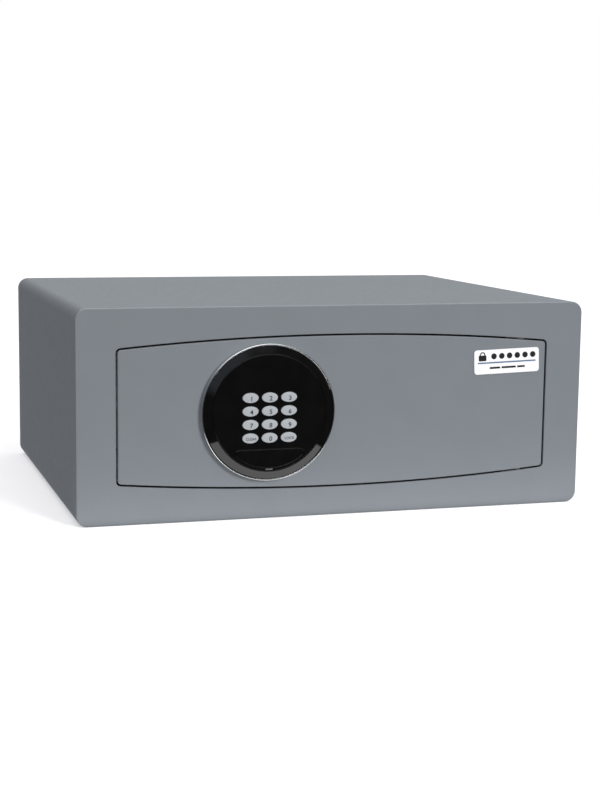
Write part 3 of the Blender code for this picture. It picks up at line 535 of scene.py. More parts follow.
def label_film():
    film = Finish("label_white", (0.92, 0.92, 0.92), 0.32, coat_weight=0.25, coat_roughness=0.15)
    return film.tint(150, 0.012).grain(260, 0.01 * MM, detail=1.0).material


def nylon():
    natural = Finish("natural_nylon", (0.72, 0.70, 0.63), 0.42, subsurface_weight=0.1)
    return natural.tint(160, 0.04).grain(900, 0.01 * MM).material


def brass():
    machined = Finish("machined_brass", (0.71, 0.52, 0.25), 0.26, 1.0)
    machined.tint(90, 0.06).polish(2200, 0.2, 0.34, stretch=(1, 1, 0.05))
    return machined.grain(2600, 0.003 * MM).material


def rubber():
    return Finish("grey_silicone", (0.09, 0.09, 0.10), 0.7).tint(300, 0.08).grain(1200, 0.02 * MM).material


def circuit_board():
    """Green solder resist over tracks that stand up through it."""
    board = Finish("circuit_board", (0.015, 0.11, 0.045), 0.35)
    tracks = board.nodes.new("ShaderNodeTexBrick")
    tracks.inputs["Scale"].default_value = 420
    tracks.inputs["Mortar Size"].default_value = 0.06
    turn = board.nodes.new("ShaderNodeMapping")
    turn.inputs["Rotation"].default_value = (math.radians(90), 0, 0)
    board.links.new(board.space, turn.inputs["Vector"])
    board.links.new(turn.outputs["Vector"], tracks.inputs["Vector"])
    board.paint(board.mix(tracks.outputs["Fac"], (0.012, 0.085, 0.035), (0.02, 0.16, 0.07)))
    return board.relief(0.03 * MM, tracks.outputs["Fac"]).material


def cell_sleeve(length):
    """A printed battery sleeve: dark with one pale band, and bare metal at both ends."""
    sleeve = Finish("cell_sleeve", (0.05, 0.08, 0.13), 0.28, coat_weight=0.5, coat_roughness=0.1)
    parts = sleeve.nodes.new("ShaderNodeSeparateXYZ")
    sleeve.links.new(sleeve.space, parts.inputs[0])
    ramp = sleeve.nodes.new("ShaderNodeValToRGB")
    ramp.color_ramp.interpolation = "CONSTANT"
    bands = ((0.0, (0.6, 0.6, 0.6)), (0.03, (0.032, 0.036, 0.044)), (0.62, (0.55, 0.58, 0.6)))
    bands += ((0.70, (0.032, 0.036, 0.044)), (0.95, (0.6, 0.6, 0.6)))
    stops = ramp.color_ramp.elements
    while len(stops) < len(bands):
        stops.new(1.0)
    for stop, (place, colour) in zip(stops, bands):
        stop.position = place
        stop.color = (*colour, 1)
    sleeve.links.new(sleeve.spread(parts.outputs["Z"], 0, 1, 0, length), ramp.inputs["Fac"])
    return sleeve.paint(ramp.outputs["Color"]).polish(500, 0.22, 0.34).grain(700, 0.006 * MM).material


PAINT = powder_coat()
FELT = felt()
ZINC = zinc()
STEEL = turned_steel()
CHROME = chrome()
GLOSS = piano_black()
MATT = satin_black()
KEY_GREY = key_plastic()
PAINTED_GLINT_GREY = glint_tab_plastic()
KEY_INK = print_ink("key_ink", (0.018, 0.019, 0.022))
LABEL_INK = print_ink("label_ink", (0.012, 0.012, 0.014))
LABEL_RULE = print_ink("label_rule_blue", (0.10, 0.17, 0.28))
LABEL_FILM = label_film()
NYLON = nylon()
BRASS = brass()
RUBBER = rubber()
BOARD = circuit_board()


# -------- camera, light and floor


def make_camera():
    """The camera stands to the left of the safe and a little above it."""
    yaw, pitch, roll = math.radians(17.13), math.radians(8.215), math.radians(0.70)
    forward = Vector((math.sin(yaw) * math.cos(pitch), math.cos(yaw) * math.cos(pitch), -math.sin(pitch)))
    level = Vector((math.cos(yaw), -math.sin(yaw), 0))
    above = level.cross(forward)
    right = math.cos(roll) * level + math.sin(roll) * above
    up = math.cos(roll) * above - math.sin(roll) * level
    camera = bpy.data.objects.new("camera", bpy.data.cameras.new("camera"))
    camera.data.lens = 71.87
    camera.data.sensor_width = 36
    camera.data.clip_start = 0.05
    place = Matrix((right, up, -forward)).transposed().to_4x4()
    place.translation = (-0.475, -1.6105, 0.325)
    camera.matrix_world = place
    bpy.context.scene.collection.objects.link(camera)
    bpy.context.scene.camera = camera


def make_floor():
    shape = Shape()
    shape.fill([shape.loop([on_floor(point, -0.2 * MM) for point in circle(0, 0, 9.0, 96)])])
    floor = shape.to_object("studio_floor")
    white = (1.0, 1.0, 1.0, 1.0)
    glow = {"emission_color": white, "emission_strength": 0.40}
    surface = Finish("pale_floor", (0.92, 0.92, 0.92), 0.9, **glow)
    surface.shader.inputs["Specular IOR Level"].default_value = 0.0
    floor.data.materials.append(surface.tint(0.8, 0.004).material)
    floor.visible_glossy = False
    floor.visible_diffuse = False


def make_softbox(name, position, target, size, power):
    """A rectangular light, hidden from the camera and from reflections."""
    lamp = bpy.data.lights.new(name, "AREA")
    lamp.shape = "RECTANGLE"
    lamp.size, lamp.size_y = size
    lamp.energy = power
    obj = bpy.data.objects.new(name, lamp)
    obj.location = position
    obj.rotation_mode = "QUATERNION"
    obj.rotation_quaternion = (Vector(target) - Vector(position)).to_track_quat("-Z", "Y")
    obj.visible_glossy = False
    obj.visible_camera = False
    bpy.context.scene.collection.objects.link(obj)


class Sky:
    """World nodes: the direction of a ray, and functions of it."""

    def __init__(self):
        world = bpy.data.worlds.new("studio")
        world.use_nodes = True
        bpy.context.scene.world = world
        self.nodes, self.links = world.node_tree.nodes, world.node_tree.links
        self.nodes.clear()
        self.direction = self.nodes.new("ShaderNodeTexCoord").outputs["Generated"]
        split = self.nodes.new("ShaderNodeSeparateXYZ")
        self.links.new(self.direction, split.inputs[0])
        self.side, self.depth, self.height = split.outputs

    def ramp(self, value, stops):
        """A colour read from stops of (value, colour), with values from -1 to 1."""
        scaled = self.nodes.new("ShaderNodeMapRange")
        scaled.inputs["From Min"].default_value = -1
        scaled.inputs["From Max"].default_value = 1
        self.links.new(value, scaled.inputs["Value"])
        ramp = self.nodes.new("ShaderNodeValToRGB")
        elements = ramp.color_ramp.elements
        while len(elements) < len(stops):
            elements.new(1.0)
        for element, (place, colour) in zip(elements, stops):
            element.position = (place + 1) / 2
            element.color = (*colour, 1)
        self.links.new(scaled.outputs["Result"], ramp.inputs["Fac"])
        return ramp.outputs["Color"]

    def towards(self, direction):
        """How closely the ray points in a direction, from -1 to 1."""
        dot = self.nodes.new("ShaderNodeVectorMath")
        dot.operation = "DOT_PRODUCT"
        dot.inputs[1].default_value = Vector(direction).normalized()
        self.links.new(self.direction, dot.inputs[0])
        return dot.outputs["Value"]

    def add(self, first, second):
        node = self.nodes.new("ShaderNodeMix")
        node.data_type = "RGBA"
        node.blend_type = "ADD"
        node.inputs["Factor"].default_value = 1.0
        self.links.new(first, node.inputs[6])
        self.links.new(second, node.inputs[7])
        return node.outputs[2]

    def background(self, colour):
        node = self.nodes.new("ShaderNodeBackground")
        if isinstance(colour, tuple):
            node.inputs["Color"].default_value = (*colour, 1)
        else:
            self.links.new(colour, node.inputs["Color"])
        return node.outputs["Background"]

    def choose(self, ray, first, second):
        """The second shader for rays of this kind, and the first for the others."""
        path = self.nodes.new("ShaderNodeLightPath")
        mix = self.nodes.new("ShaderNodeMixShader")
        self.links.new(path.outputs[ray], mix.inputs[0])
        self.links.new(first, mix.inputs[1])
        self.links.new(second, mix.inputs[2])
        return mix.outputs[0]


def grey(level):
    return (level, level, level)


def make_sky():
    """White to the camera. Diffuse light comes from above and the front; gloss sees a studio."""
    sky = Sky()
    lift = (
        (-1.0, (0.065, 0.062, 0.09)),
        (-0.01, (0.095, 0.09, 0.13)),
        (0.0, (0.175, 0.168, 0.235)),
        (0.4, (0.32, 0.315, 0.36)),
        (1.0, grey(1.06)),
    )
    overhead = sky.ramp(sky.height, lift)
    lobe = ((0.2, grey(0.0)), (1.0, (0.40, 0.40, 0.38)))
    front = sky.ramp(sky.towards((-0.1, -1.0, 0.0)), lobe)
    fill = sky.background(sky.add(overhead, front))

    bands = (
        (-1.0, grey(0.30)),
        (-0.90, grey(0.45)),
        (-0.84, grey(2.1)),
        (-0.486, grey(2.1)),
        (-0.478, grey(0.03)),
        (0.56, grey(0.04)),
        (0.78, grey(1.8)),
        (1.0, grey(3.9)),
    )
    studio = sky.ramp(sky.height, bands)
    wall = (0.27, 0.29, 0.31)
    behind = sky.ramp(sky.depth, ((-0.05, grey(0.0)), (0.5, wall), (1.0, wall)))
    pane = ((0.925, grey(0.0)), (0.966, (0.38, 0.41, 0.48)))
    window = sky.ramp(sky.towards((-0.25, -0.88, 0.39)), pane)
    seen = sky.add(sky.add(studio, behind), window)
    gloss = sky.background(seen)

    lit = sky.choose("Is Glossy Ray", fill, gloss)
    shown = sky.choose("Is Camera Ray", lit, sky.background(grey(1.0)))
    output = sky.nodes.new("ShaderNodeOutputWorld")
    sky.links.new(shown, output.inputs["Surface"])


def make_studio():
    make_camera()
    make_floor()
    make_softbox("overhead_softbox", (0.1, -0.35, 2.3), (0, 0, 0), (1.8, 1.8), 2)
    make_softbox("key_softbox", (1.5, -4.0, 1.75), (0, 0, MID_Z), (1.25, 1.25), 136)
    card_y = FRONT - 28 * MM
    make_softbox("bounce_card", (0, card_y, MM), (0, card_y, 1), (0.6, 0.05), 0.085)
    make_sky()
    bpy.context.scene.view_settings.view_transform = "Standard"


# -------- cabinet


def make_cabinet_skin():
    """Folded body and front plate, welded and ground into one skin: rounded all round its front edge."""
    shape = Shape()
    outer = rect_ring(0, MID_Z, BODY_W, BODY_H, EDGE_R, 12)
    stations = rim(0, BODY_D, FRONT_FILLET, 0.5 * MM, 8)
    stations += [(SHELL_T - 0.3 * MM, BODY_D), (SHELL_T, BODY_D - 0.3 * MM), (SHELL_T, FRAME_T)]
    walls = shape.sweep(outer, stations)
    doorway = rim(0, FRAME_T, 0.7 * MM, 0.3 * MM)
    opening = shape.sweep(lambda inset: arched_outline(DOOR_GAP + inset), doorway)
    shape.fill([walls[0], opening[0]])
    shape.fill([walls[-1], opening[-1]])
    skin = shape.to_object("cabinet_skin")
    for side in (-1, 1):
        start = (side * FIX_X, FRONT + BASE_FIX_DEPTH, -SHELL_T)
        combine(skin, cutter_bar("+Z", start, FIX_R, 3 * SHELL_T))
    fit(skin, PAINT, "cabinet", "cabinet_paint", "outer_shell", "front_frame")


def make_back_plate():
    width, height = PANEL_HIGH.x - PANEL_LOW.x, PANEL_HIGH.z - PANEL_LOW.z
    rings = [rect_ring(0, MID_Z, width, height, EDGE_R - SHELL_T - GAP, 12)]
    rings += [round_hole(side * FIX_X, MID_Z, FIX_R) for side in (-1, 1)]
    stations = rim(PANEL_LOW.y - FRONT, PANEL_HIGH.y - FRONT, 0.3 * MM, 0.6 * MM)
    fit(plate("back_plate", rings, stations), PAINT, "cabinet", "cabinet_paint", "back_panel")


def make_base_felt():
    low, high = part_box("base_mat")
    middle_y, depth = (low.y + high.y) / 2, high.y - low.y
    rings = [rect_ring(0, middle_y, high.x - low.x, depth, 4 * MM, 6)]
    rings += [round_hole(side * FIX_X, FRONT + BASE_FIX_DEPTH, 2 * FIX_R) for side in (-1, 1)]
    cloth = plate("base_mat_felt", rings, rim(low.z, high.z, 0.3 * MM, 1.0 * MM), on_floor)
    fit(cloth, FELT, "cabinet", "felt", "base_mat")


def make_hinges():
    """Pins turned at full resolution; the frame's own bushes, brackets and lugs, with rounded edges."""
    for name in ("upper", "lower"):
        low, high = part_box(f"hinge_pin_{name}")
        radius, length = (high.x - low.x) / 2, high.z - low.z
        chamfer = 0.5 * MM
        profile = [(0, 0), (radius - chamfer, 0), (radius, chamfer), (radius, length - chamfer)]
        profile += [(radius - chamfer, length), (0, length)]
        pin = turned(f"hinge_pin_{name}_turned", profile, aim(centre_on_axis(low, high), "+Z"), 40)
        fit(pin, STEEL, "door", "bright_steel", f"hinge_pin_{name}")
        soften(f"hinge_bush_{name}", NYLON, 0.15 * MM)
        soften(f"hinge_bracket_{name}", ZINC, 0.5 * MM, 3)
        soften(f"hinge_lug_{name}", ZINC, 0.8 * MM, 3)


def centre_on_axis(low, high):
    """The foot of the upright axis through a box's middle."""
    return Vector(((low.x + high.x) / 2, (low.y + high.y) / 2, low.z))


def make_cabinet():
    make_cabinet_skin()
    make_back_plate()
    make_base_felt()
    make_hinges()
    soften("strike_channel", ZINC, 0.5 * MM, 3)


# -------- door


def make_door_leaf():
    cable_slot = rect_hole(CABLE_X, CABLE_Z, CABLE_SLOT_W, CABLE_SLOT_H, 2 * MM)
    lock_hole = round_hole(PAD_X, PAD_Z - LOCK_DROP, LOCK_R + GAP)
    rings = [lambda inset: arched_outline(-inset), cable_slot, lock_hole]
    leaf = plate("door_leaf", rings, rim(0, DOOR_T, 1.1 * MM, 0.3 * MM))
    fit(leaf, PAINT, "door", "cabinet_paint", "door_plate")


def make_inner_cover():
    """Pressed steel cover: rolled edge, flanges, stiffening panel, battery window and lid rails."""
    near, far = COVER_LOW.y - FRONT, LID_LOW.y - FRONT - GAP
    middle_x, width = (COVER_LOW.x + COVER_HIGH.x) / 2, COVER_HIGH.x - COVER_LOW.x
    outline = rect_ring(middle_x, MID_Z, width, 2 * COVER_HALF_H, 6 * MM)
    body = plate("inner_cover", [outline], rim(near, far, 0, 3.2 * MM, 6))

    flange_w, flange_h = width - 10 * MM, COVER_HIGH.z - COVER_LOW.z
    flange = rect_ring(middle_x, MID_Z, flange_w, flange_h, 3 * MM)
    combine(body, plate("flange", [flange], rim(near, near + COVER_T, 0, 0.4 * MM, 3)), "UNION")

    panel_left, panel_right, panel_t = COVER_LOW.x + 14 * MM, -4 * MM, 1.2 * MM
    panel_x, panel_w = (panel_left + panel_right) / 2, panel_right - panel_left
    panel = rect_ring(panel_x, MID_Z, panel_w, 2 * COVER_HALF_H - 26 * MM, 9 * MM)
    combine(body, plate("panel", [panel], rim(far - MM, far + panel_t, 0, panel_t, 6)), "UNION")
    for side in (-1, 1):
        combine(body, lid_rail(side, far), "UNION")

    hollow = rect_ring(middle_x, MID_Z, width - 2 * COVER_T, 2 * (COVER_HALF_H - COVER_T), 4.5 * MM)
    combine(body, plate("hollow", [hollow], rim(0, far - COVER_T, 0, 2 * MM, 5)))
    window_x, window_w, window_h = (LID_LOW.x + LID_HIGH.x) / 2, 64 * MM, 58 * MM
    window = rect_ring(window_x, MID_Z, window_w, window_h, 2 * MM)
    combine(body, plate("window", [window], rim(far - 4 * MM, far + 4 * MM)))
    for bolt in ("upper", "lower"):
        low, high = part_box(f"lock_bolt_{bolt}")
        start = (COVER_LOW.x + 6 * MM, (low.y + high.y) / 2, (low.z + high.z) / 2)
        combine(body, cutter_bar("-X", start, (high.z - low.z) / 2 + 0.6 * MM, 12 * MM))
    for number in range(1, 5):
        low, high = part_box(f"cover_screw_{number}")
        start = ((low.x + high.x) / 2, FRONT + near + 3 * MM, (low.z + high.z) / 2)
        combine(body, cutter_bar("-Y", start, SCREW_R + GAP, 5 * MM, 24))
    fit(body, PAINT, "door", "cabinet_paint", "door_inner_cover", angle=30)


def lid_rail(side, far):
    """An L-shaped rail that holds one long edge of the battery lid, drawn across X."""
    wall, overlap, chamfer = 1.8 * MM, 2 * MM, 0.5 * MM
    edge = MID_Z + side * ((LID_HIGH.z - LID_LOW.z) / 2 + GAP)
    outer, over = edge + side * wall, edge - side * overlap
    lip_near = far + GAP + LID_T + GAP
    lip_far = lip_near + MM
    profile = [(far - MM, outer), (far - MM, edge), (lip_near, edge), (lip_near, over)]
    profile += [(lip_far, over), (lip_far, outer - side * chamfer), (lip_far - chamfer, outer)]
    ends = (LID_LOW.x - LID_TRAVEL, LID_HIGH.x)
    return capped("rail", [[Vector((x, FRONT + depth, z)) for depth, z in profile] for x in ends])


def make_cover_screws():
    """Zinc pan-head screws with a cross recess."""
    quarter = [math.radians(90 * i / 9) for i in range(9)]
    crown = [(SCREW_HEAD_R * math.sin(a), SCREW_HEAD_T * math.cos(a) ** 0.8) for a in quarter]
    skirt = [(SCREW_HEAD_R, 0.3 * MM), (SCREW_HEAD_R - 0.2 * MM, 0)]
    shank = [(SCREW_R, 0), (SCREW_R, -SCREW_L), (0, -SCREW_L)]
    for number in range(1, 5):
        low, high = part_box(f"cover_screw_{number}")
        seat = Vector(((low.x + high.x) / 2, high.y - SCREW_HEAD_T, (low.z + high.z) / 2))
        screw = turned(f"cover_screw_{number}_head", crown + skirt + shank, aim(seat, "+Y"), 40)
        for turn in (0, 90):
            combine(screw, recess_blade(seat, 45 + turn + 20 * number))
        fit(screw, ZINC, "door", "zinc_steel", f"cover_screw_{number}", angle=40)


def recess_blade(seat, turn):
    """One arm of a cross recess: a blade that narrows as it goes in."""
    half_l, half_w, deep = 0.55 * SCREW_HEAD_R, 0.4 * MM, 1.1 * MM
    corners = ((1, 1), (-1, 1), (-1, -1), (1, -1))
    rows = [
        [Vector((sx * half_l * share, sy * half_w * share, height)) for sx, sy in corners]
        for height, share in ((SCREW_HEAD_T - deep, 0.45), (SCREW_HEAD_T + MM, 1.0))
    ]
    spin = Matrix.Rotation(math.radians(turn), 4, "Z")
    return settle(capped("blade", rows), aim(seat, "+Y") @ spin)


def make_label():
    """White film label of a generic design: a padlock, a row of code dots, a rule and three dashes."""
    low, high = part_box("front_label")
    middle_x, middle_z = (low.x + high.x) / 2, (low.z + high.z) / 2
    turn = Matrix.Rotation(LABEL_TILT, 2)

    def tilted(ring):
        def place(inset):
            points = [turn @ Vector(point) for point in ring(inset)]
            return [(middle_x + point.x, middle_z + point.y) for point in points]

        return place

    near, far = low.y - FRONT, high.y - FRONT
    edge = tilted(rect_ring(0, 0, LABEL_W, LABEL_H, LABEL_R))
    film = plate("label_film", [edge], rim(near, far, 0.1 * MM, 0))
    fit(film, LABEL_FILM, "door", "white_label", "front_label")

    ink = rim(near - 0.03 * MM, near + 0.05 * MM)
    marks = {
        "padlock_body": [rect_ring(PADLOCK_X, 3.8 * MM, 8.0 * MM, 5.6 * MM, 0.9 * MM)],
        "padlock_shackle": [shackle],
        "rule": [rect_ring(0, -0.9 * MM, 61 * MM, 1.4 * MM, 0.3 * MM)],
        "dash_1": [rect_ring(-12.5 * MM, -6.0 * MM, 11 * MM, 1.9 * MM, 0.5 * MM)],
        "dash_2": [rect_ring(2.0 * MM, -6.0 * MM, 15 * MM, 1.9 * MM, 0.5 * MM)],
        "dash_3": [rect_ring(15.0 * MM, -6.0 * MM, 8 * MM, 1.9 * MM, 0.5 * MM)],
    }
    for number in range(6):
        dot = round_dot((-13.5 + 8.2 * number) * MM, 5.2 * MM, 2.9 * MM)
        marks[f"code_dot_{number + 1}"] = [dot]
    for name, rings in marks.items():
        mark = plate(f"label_{name}", [tilted(ring) for ring in rings], ink)
        fit(mark, LABEL_RULE if name == "rule" else LABEL_INK, "door", "white_label")


def round_dot(x, z, radius):
    return lambda inset: circle(x, z, radius - inset, 32)


def shackle(inset):
    """The padlock's shackle: a half ring on two short legs, as one closed outline."""
    x, z, outer, inner = PADLOCK_X, 7.0 * MM, 2.9 * MM, 1.8 * MM
    low = z - 0.8 * MM
    points = [(x + outer, low), *arc(x, z, outer, 0, 180, 16), (x - outer, low)]
    return points + [(x - inner, low), *arc(x, z, inner, 180, 0, 16), (x + inner, low)]


def make_battery_bay():
    """The holder with its contacts, and four cells in printed sleeves."""
    soften("battery_holder", MATT, 0.3 * MM)
    low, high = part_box("battery_1")
    radius, length = (high.x - low.x) / 2, high.z - low.z
    sleeve = cell_sleeve(length)
    nub_r, nub_t, edge = 2.7 * MM, 1.0 * MM, 0.6 * MM
    top = length - nub_t
    profile = [(0, 0), (radius - 1.4 * MM, 0), (radius - edge, 0.15 * MM), (radius, edge)]
    profile += [(radius, top - edge), (radius - edge, top), (nub_r + 0.6 * MM, top - 0.1 * MM)]
    profile += [(nub_r, top), (nub_r, length - 0.2 * MM), (nub_r - 0.3 * MM, length), (0, length)]
    for number in range(1, 5):
        low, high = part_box(f"battery_{number}")
        place = aim(centre_on_axis(low, high), "+Z")
        cell = turned(f"battery_{number}_cell", profile, place, 56)
        fit(cell, sleeve, "door", "cell_wrap", f"battery_{number}")
        spring = contact_spring(low, high, number)
        fit(spring, STEEL, "door", "bright_steel", angle=60)


def contact_spring(low, high, number):
    """The coiled contact under a cell's flat end."""
    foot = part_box("battery_holder")[0].z + 2.2 * MM
    start = centre_on_axis(low, high)
    tall = start.z - foot - 0.15 * MM
    turns, wire, foot_r, narrowing = 3, 0.35 * MM, 4.2, 1.8
    curve = bpy.data.curves.new(f"battery_spring_{number}", "CURVE")
    curve.dimensions = "3D"
    curve.bevel_depth = wire
    curve.bevel_resolution = 2
    curve.use_fill_caps = True
    steps = turns * 20
    spline = curve.splines.new("POLY")
    spline.points.add(steps)
    for i, point in enumerate(spline.points):
        share = i / steps
        angle = 2 * math.pi * turns * share
        radius = (foot_r - narrowing * share) * MM
        x, y = start.x + radius * math.cos(angle), start.y + radius * math.sin(angle)
        point.co = (x, y, foot + wire + (tall - 2 * wire) * share, 1)
    shape = curve_shape(curve)
    shape.weld(0.002 * MM)
    return shape.to_object(f"battery_spring_{number}")


def make_battery_lid():
    """Sliding lid with three finger ridges and a moulded arrow that points the way it opens."""
    middle_x, width = (LID_LOW.x + LID_HIGH.x) / 2, LID_HIGH.x - LID_LOW.x
    near = LID_LOW.y - FRONT
    outline = rect_ring(middle_x, MID_Z, width, LID_HIGH.z - LID_LOW.z, 2 * MM)
    face = near + LID_T
    lid = plate("battery_lid_cover", [outline], rim(near, face, 0.2 * MM, 0.5 * MM))
    ridge_w, ridge_h, ridge_t, sink = 1.7 * MM, 26 * MM, 0.8 * MM, 0.5 * MM
    for number in range(3):
        x = LID_LOW.x + (8 + 4 * number) * MM
        ridge = rect_ring(x, MID_Z, ridge_w, ridge_h, 0.84 * MM)
        combine(lid, plate("ridge", [ridge], rim(face - sink, face + ridge_t, 0, 0.7 * MM)), "UNION")
    tip, long, half_w, tall = middle_x - 4 * MM, 9 * MM, 7 * MM, 0.4 * MM
    arrow = [(tip, MID_Z), (tip + long, MID_Z - half_w), (tip + long, MID_Z + half_w)]
    combine(lid, plate("arrow", [lambda inset: arrow], rim(face - sink, face + tall)), "UNION")
    fit(lid, MATT, "battery_lid", "black_matt", "battery_lid")


def make_bolts():
    """Bright steel bolts with a chamfered nose and a turned shoulder line."""
    for name in ("upper", "lower"):
        low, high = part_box(f"lock_bolt_{name}")
        radius, length = (high.z - low.z) / 2, high.x - low.x
        nose = 1.6 * MM
        profile = [(0, 0), (radius - 0.4 * MM, 0), (radius, 0.4 * MM), (radius, length - nose)]
        profile += [(radius - 0.25 * MM, length - 0.9 * MM), (radius - nose, length), (0, length)]
        start = Vector((high.x, (low.y + high.y) / 2, (low.z + high.z) / 2))
        bolt = turned(f"lock_bolt_{name}_turned", profile, aim(start, "-X"), 72)
        fit(bolt, STEEL, "bolts", "bright_steel", f"lock_bolt_{name}")
        soften(f"bolt_guide_{name}", MATT, 0.8 * MM, 3)
    soften("bolt_carriage", ZINC, 0.3 * MM)
    soften("drive_pinion", BRASS, 0.15 * MM)
    soften("lock_gearbox", MATT, 0.4 * MM)
    soften("lock_motor", ZINC, 0.4 * MM)


def make_door():
    make_door_leaf()
    make_inner_cover()
    make_cover_screws()
    make_label()
    make_battery_bay()
    make_battery_lid()
    make_bolts()
    soften("control_board", BOARD, 0.2 * MM)


# -------- keypad


def key_centre(name):
    low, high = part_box(f"key_{name}")
    return (low.x + high.x) / 2, (low.z + high.z) / 2


def key_hole(name, grow):
    x, z = key_centre(name)
    return lambda inset: ellipse(x, z, KEY_W / 2 + grow + inset, KEY_H / 2 + grow + inset, 56)


def make_bezel():
    """Chrome ring: a rolled outer shoulder, a narrow flat land and a soft inner lip."""
    shoulder, lip = 0.6 * MM, 0.3 * MM
    inner = RING_R - RING_T
    quarter = [math.radians(90 * i / 8) for i in range(9)]
    profile = [(inner, GAP)]
    for a in quarter:
        profile.append((inner + lip * (1 - math.cos(a)), RING_PROUD - lip * (1 - math.sin(a))))
    for a in quarter:
        profile.append((RING_R - shoulder * (1 - math.sin(a)), RING_PROUD - shoulder * (1 - math.cos(a))))
    profile += [(RING_R, GAP)]
    ring = turned("keypad_chrome_ring", profile, aim(PAD_AXIS, "-Y"), 192, closed=True)
    fit(ring, CHROME, "door", "chrome", "bezel_ring", angle=50)


def make_housing():
    """Black dish with a sloping rim. Its floor has the key, display and service openings."""
    recess, crest, wall_t = LENS_R + GAP, 0.25 * MM, 2 * MM
    profile = [
        (recess, -HOUSING_TOP),
        (recess, crest - FACE_PROUD),
        (recess + 0.3 * crest, 0.3 * crest - FACE_PROUD),
        (recess + crest, -FACE_PROUD),
        (recess + 2 * crest, 0.15 * crest - FACE_PROUD),
        (BEVEL_R, -BEVEL_LOW),
        (BEVEL_R, -GAP),
        (BEVEL_R - wall_t, -GAP),
        (BEVEL_R - wall_t, wall_t - BEVEL_LOW),
        (recess, -HOUSING_UNDER),
    ]
    shape = Shape()
    wall = shape.sweep(lambda radius: circle(PAD_X, PAD_Z, radius, 160), profile)
    holes = [key_hole(name, GAP) for name in KEY_LEGENDS]
    holes.append(rect_hole(PAD_X, PAD_Z + WINDOW_RISE, WINDOW_W, WINDOW_H, 2 * MM))
    holes.append(lambda inset: service_outline(3 * MM - inset))
    tops, unders = [wall[0]], [wall[-1]]
    for hole in holes:
        loops = shape.sweep(hole, ((0, -HOUSING_TOP), (0, -HOUSING_UNDER)))
        tops.append(loops[0])
        unders.append(loops[1])
    shape.fill(tops)
    shape.fill(unders)
    fit(shape.to_object("keypad_dish"), GLOSS, "door", "black_gloss", "keypad_housing")


def make_lens():
    rings = [lambda inset: circle(PAD_X, PAD_Z, LENS_R - inset, 160)]
    rings += [key_hole(name, GAP) for name in KEY_LEGENDS]
    rings.append(lambda inset: service_outline(-inset))
    lens = plate("keypad_lens", rings, rim(-FACE_PROUD, LENS_T - FACE_PROUD, 0.3 * MM, 0.1 * MM, 4))
    combine(lens, plate("tab_notch", [tab_outline(GAP / 2)], rim(-2 * FACE_PROUD, 0)))
    fit(lens, GLOSS, "door", "black_gloss", "fascia_lens")


def make_service_cover():
    """Snap-off cover over the override lock, with a small sloping finger tab at its lower edge."""
    stations = rim(-FACE_PROUD, LENS_T - FACE_PROUD, 0.24 * MM, 0.1 * MM, 4)
    cover = plate("override_service_cover", [lambda inset: service_outline(GAP + inset)], stations)
    fit(cover, GLOSS, "service_cover", "black_gloss", "service_cover")
    sunk, slope = 0.5 * MM, 0.28
    stations = rim(sunk - FACE_PROUD, LENS_T - FACE_PROUD, 0.2 * MM)
    tab = plate("service_cover_tab", [tab_outline(-GAP / 2)], stations)
    for vertex in tab.data.vertices:
        if vertex.co.y < FRONT + 0.8 * MM - FACE_PROUD:
            vertex.co.y -= slope * (vertex.co.z - (PAD_Z - TAB_RISE))
    # The tab's light grey is a painted highlight, standing in for the glint at the notch.
    fit(tab, PAINTED_GLINT_GREY, "service_cover", "black_matt")
    for side, name in ((-1, "left"), (1, "right")):
        clip = snap_clip(f"service_clip_{name}", PAD_X + side * CLIP_X)
        fit(clip, MATT, "service_cover", "black_matt")


def tab_outline(grow):
    return rect_ring(PAD_X, PAD_Z - TAB_RISE, TAB_W + 2 * grow, TAB_H + 2 * grow, 0.7 * MM + grow, 5)


def snap_clip(name, x):
    """A springy hook behind the cover: a stem with a barbed end."""
    top, half_w = PAD_Z - SERVICE_CHORD - 4 * MM, 3 * MM
    back, stem, barb = 3.6 * MM, 1.2 * MM, 0.5 * MM
    start = FACE_PROUD - LENS_T + 0.02 * MM
    profile = [(start, top), (start, top - stem), (back, top - stem), (back, top - 0.3 * MM)]
    profile += [(back + 1.0 * MM, top + barb - 0.1 * MM), (back + 1.5 * MM, top)]
    sides = (x - half_w, x + half_w)
    return capped(name, [[Vector((px, FRONT - height, z)) for height, z in profile] for px in sides])


def key_crown(share):
    """The height of a key's top above the door, at a share of the way from its middle to its edge."""
    shoulder = 0.9
    height = KEY_TOP - KEY_DOME * share**2
    if share > shoulder:
        slope = (share - shoulder) / (1 - shoulder)
        height -= KEY_SHOULDER * (1 - math.sqrt(max(0.0, 1 - slope**2)))
    return height


def make_key(name, legend):
    """A domed cap, drawn finer towards its edge, on a skirt with a flange, and its printed legend."""
    x, z = key_centre(name)
    half_w, half_h = KEY_W / 2, KEY_H / 2
    shares = (0.08, 0.25, 0.45, 0.62, 0.76, 0.85, 0.9, 0.93, 0.955, 0.975, 0.99, 1.0)
    flange, flange_top, under = 0.8 * MM, HOUSING_UNDER - GAP, HOUSING_UNDER - MM
    rings = [(share * half_w, share * half_h, key_crown(share)) for share in shares]
    for grow, height in ((0.0, flange_top), (flange, flange_top), (flange, under)):
        rings.append((half_w + grow, half_h + grow * KEY_H / KEY_W, height))
    rows = [[on_front(point, -height) for point in ellipse(x, z, rx, ry, 64)] for rx, ry, height in rings]
    body = f"key_{name}"
    fit(capped(f"key_{name}_cap", rows), KEY_GREY, body, "key_grey", body, angle=50)
    fit(key_legend(name, legend, x, z), KEY_INK, body, "key_grey", angle=60)


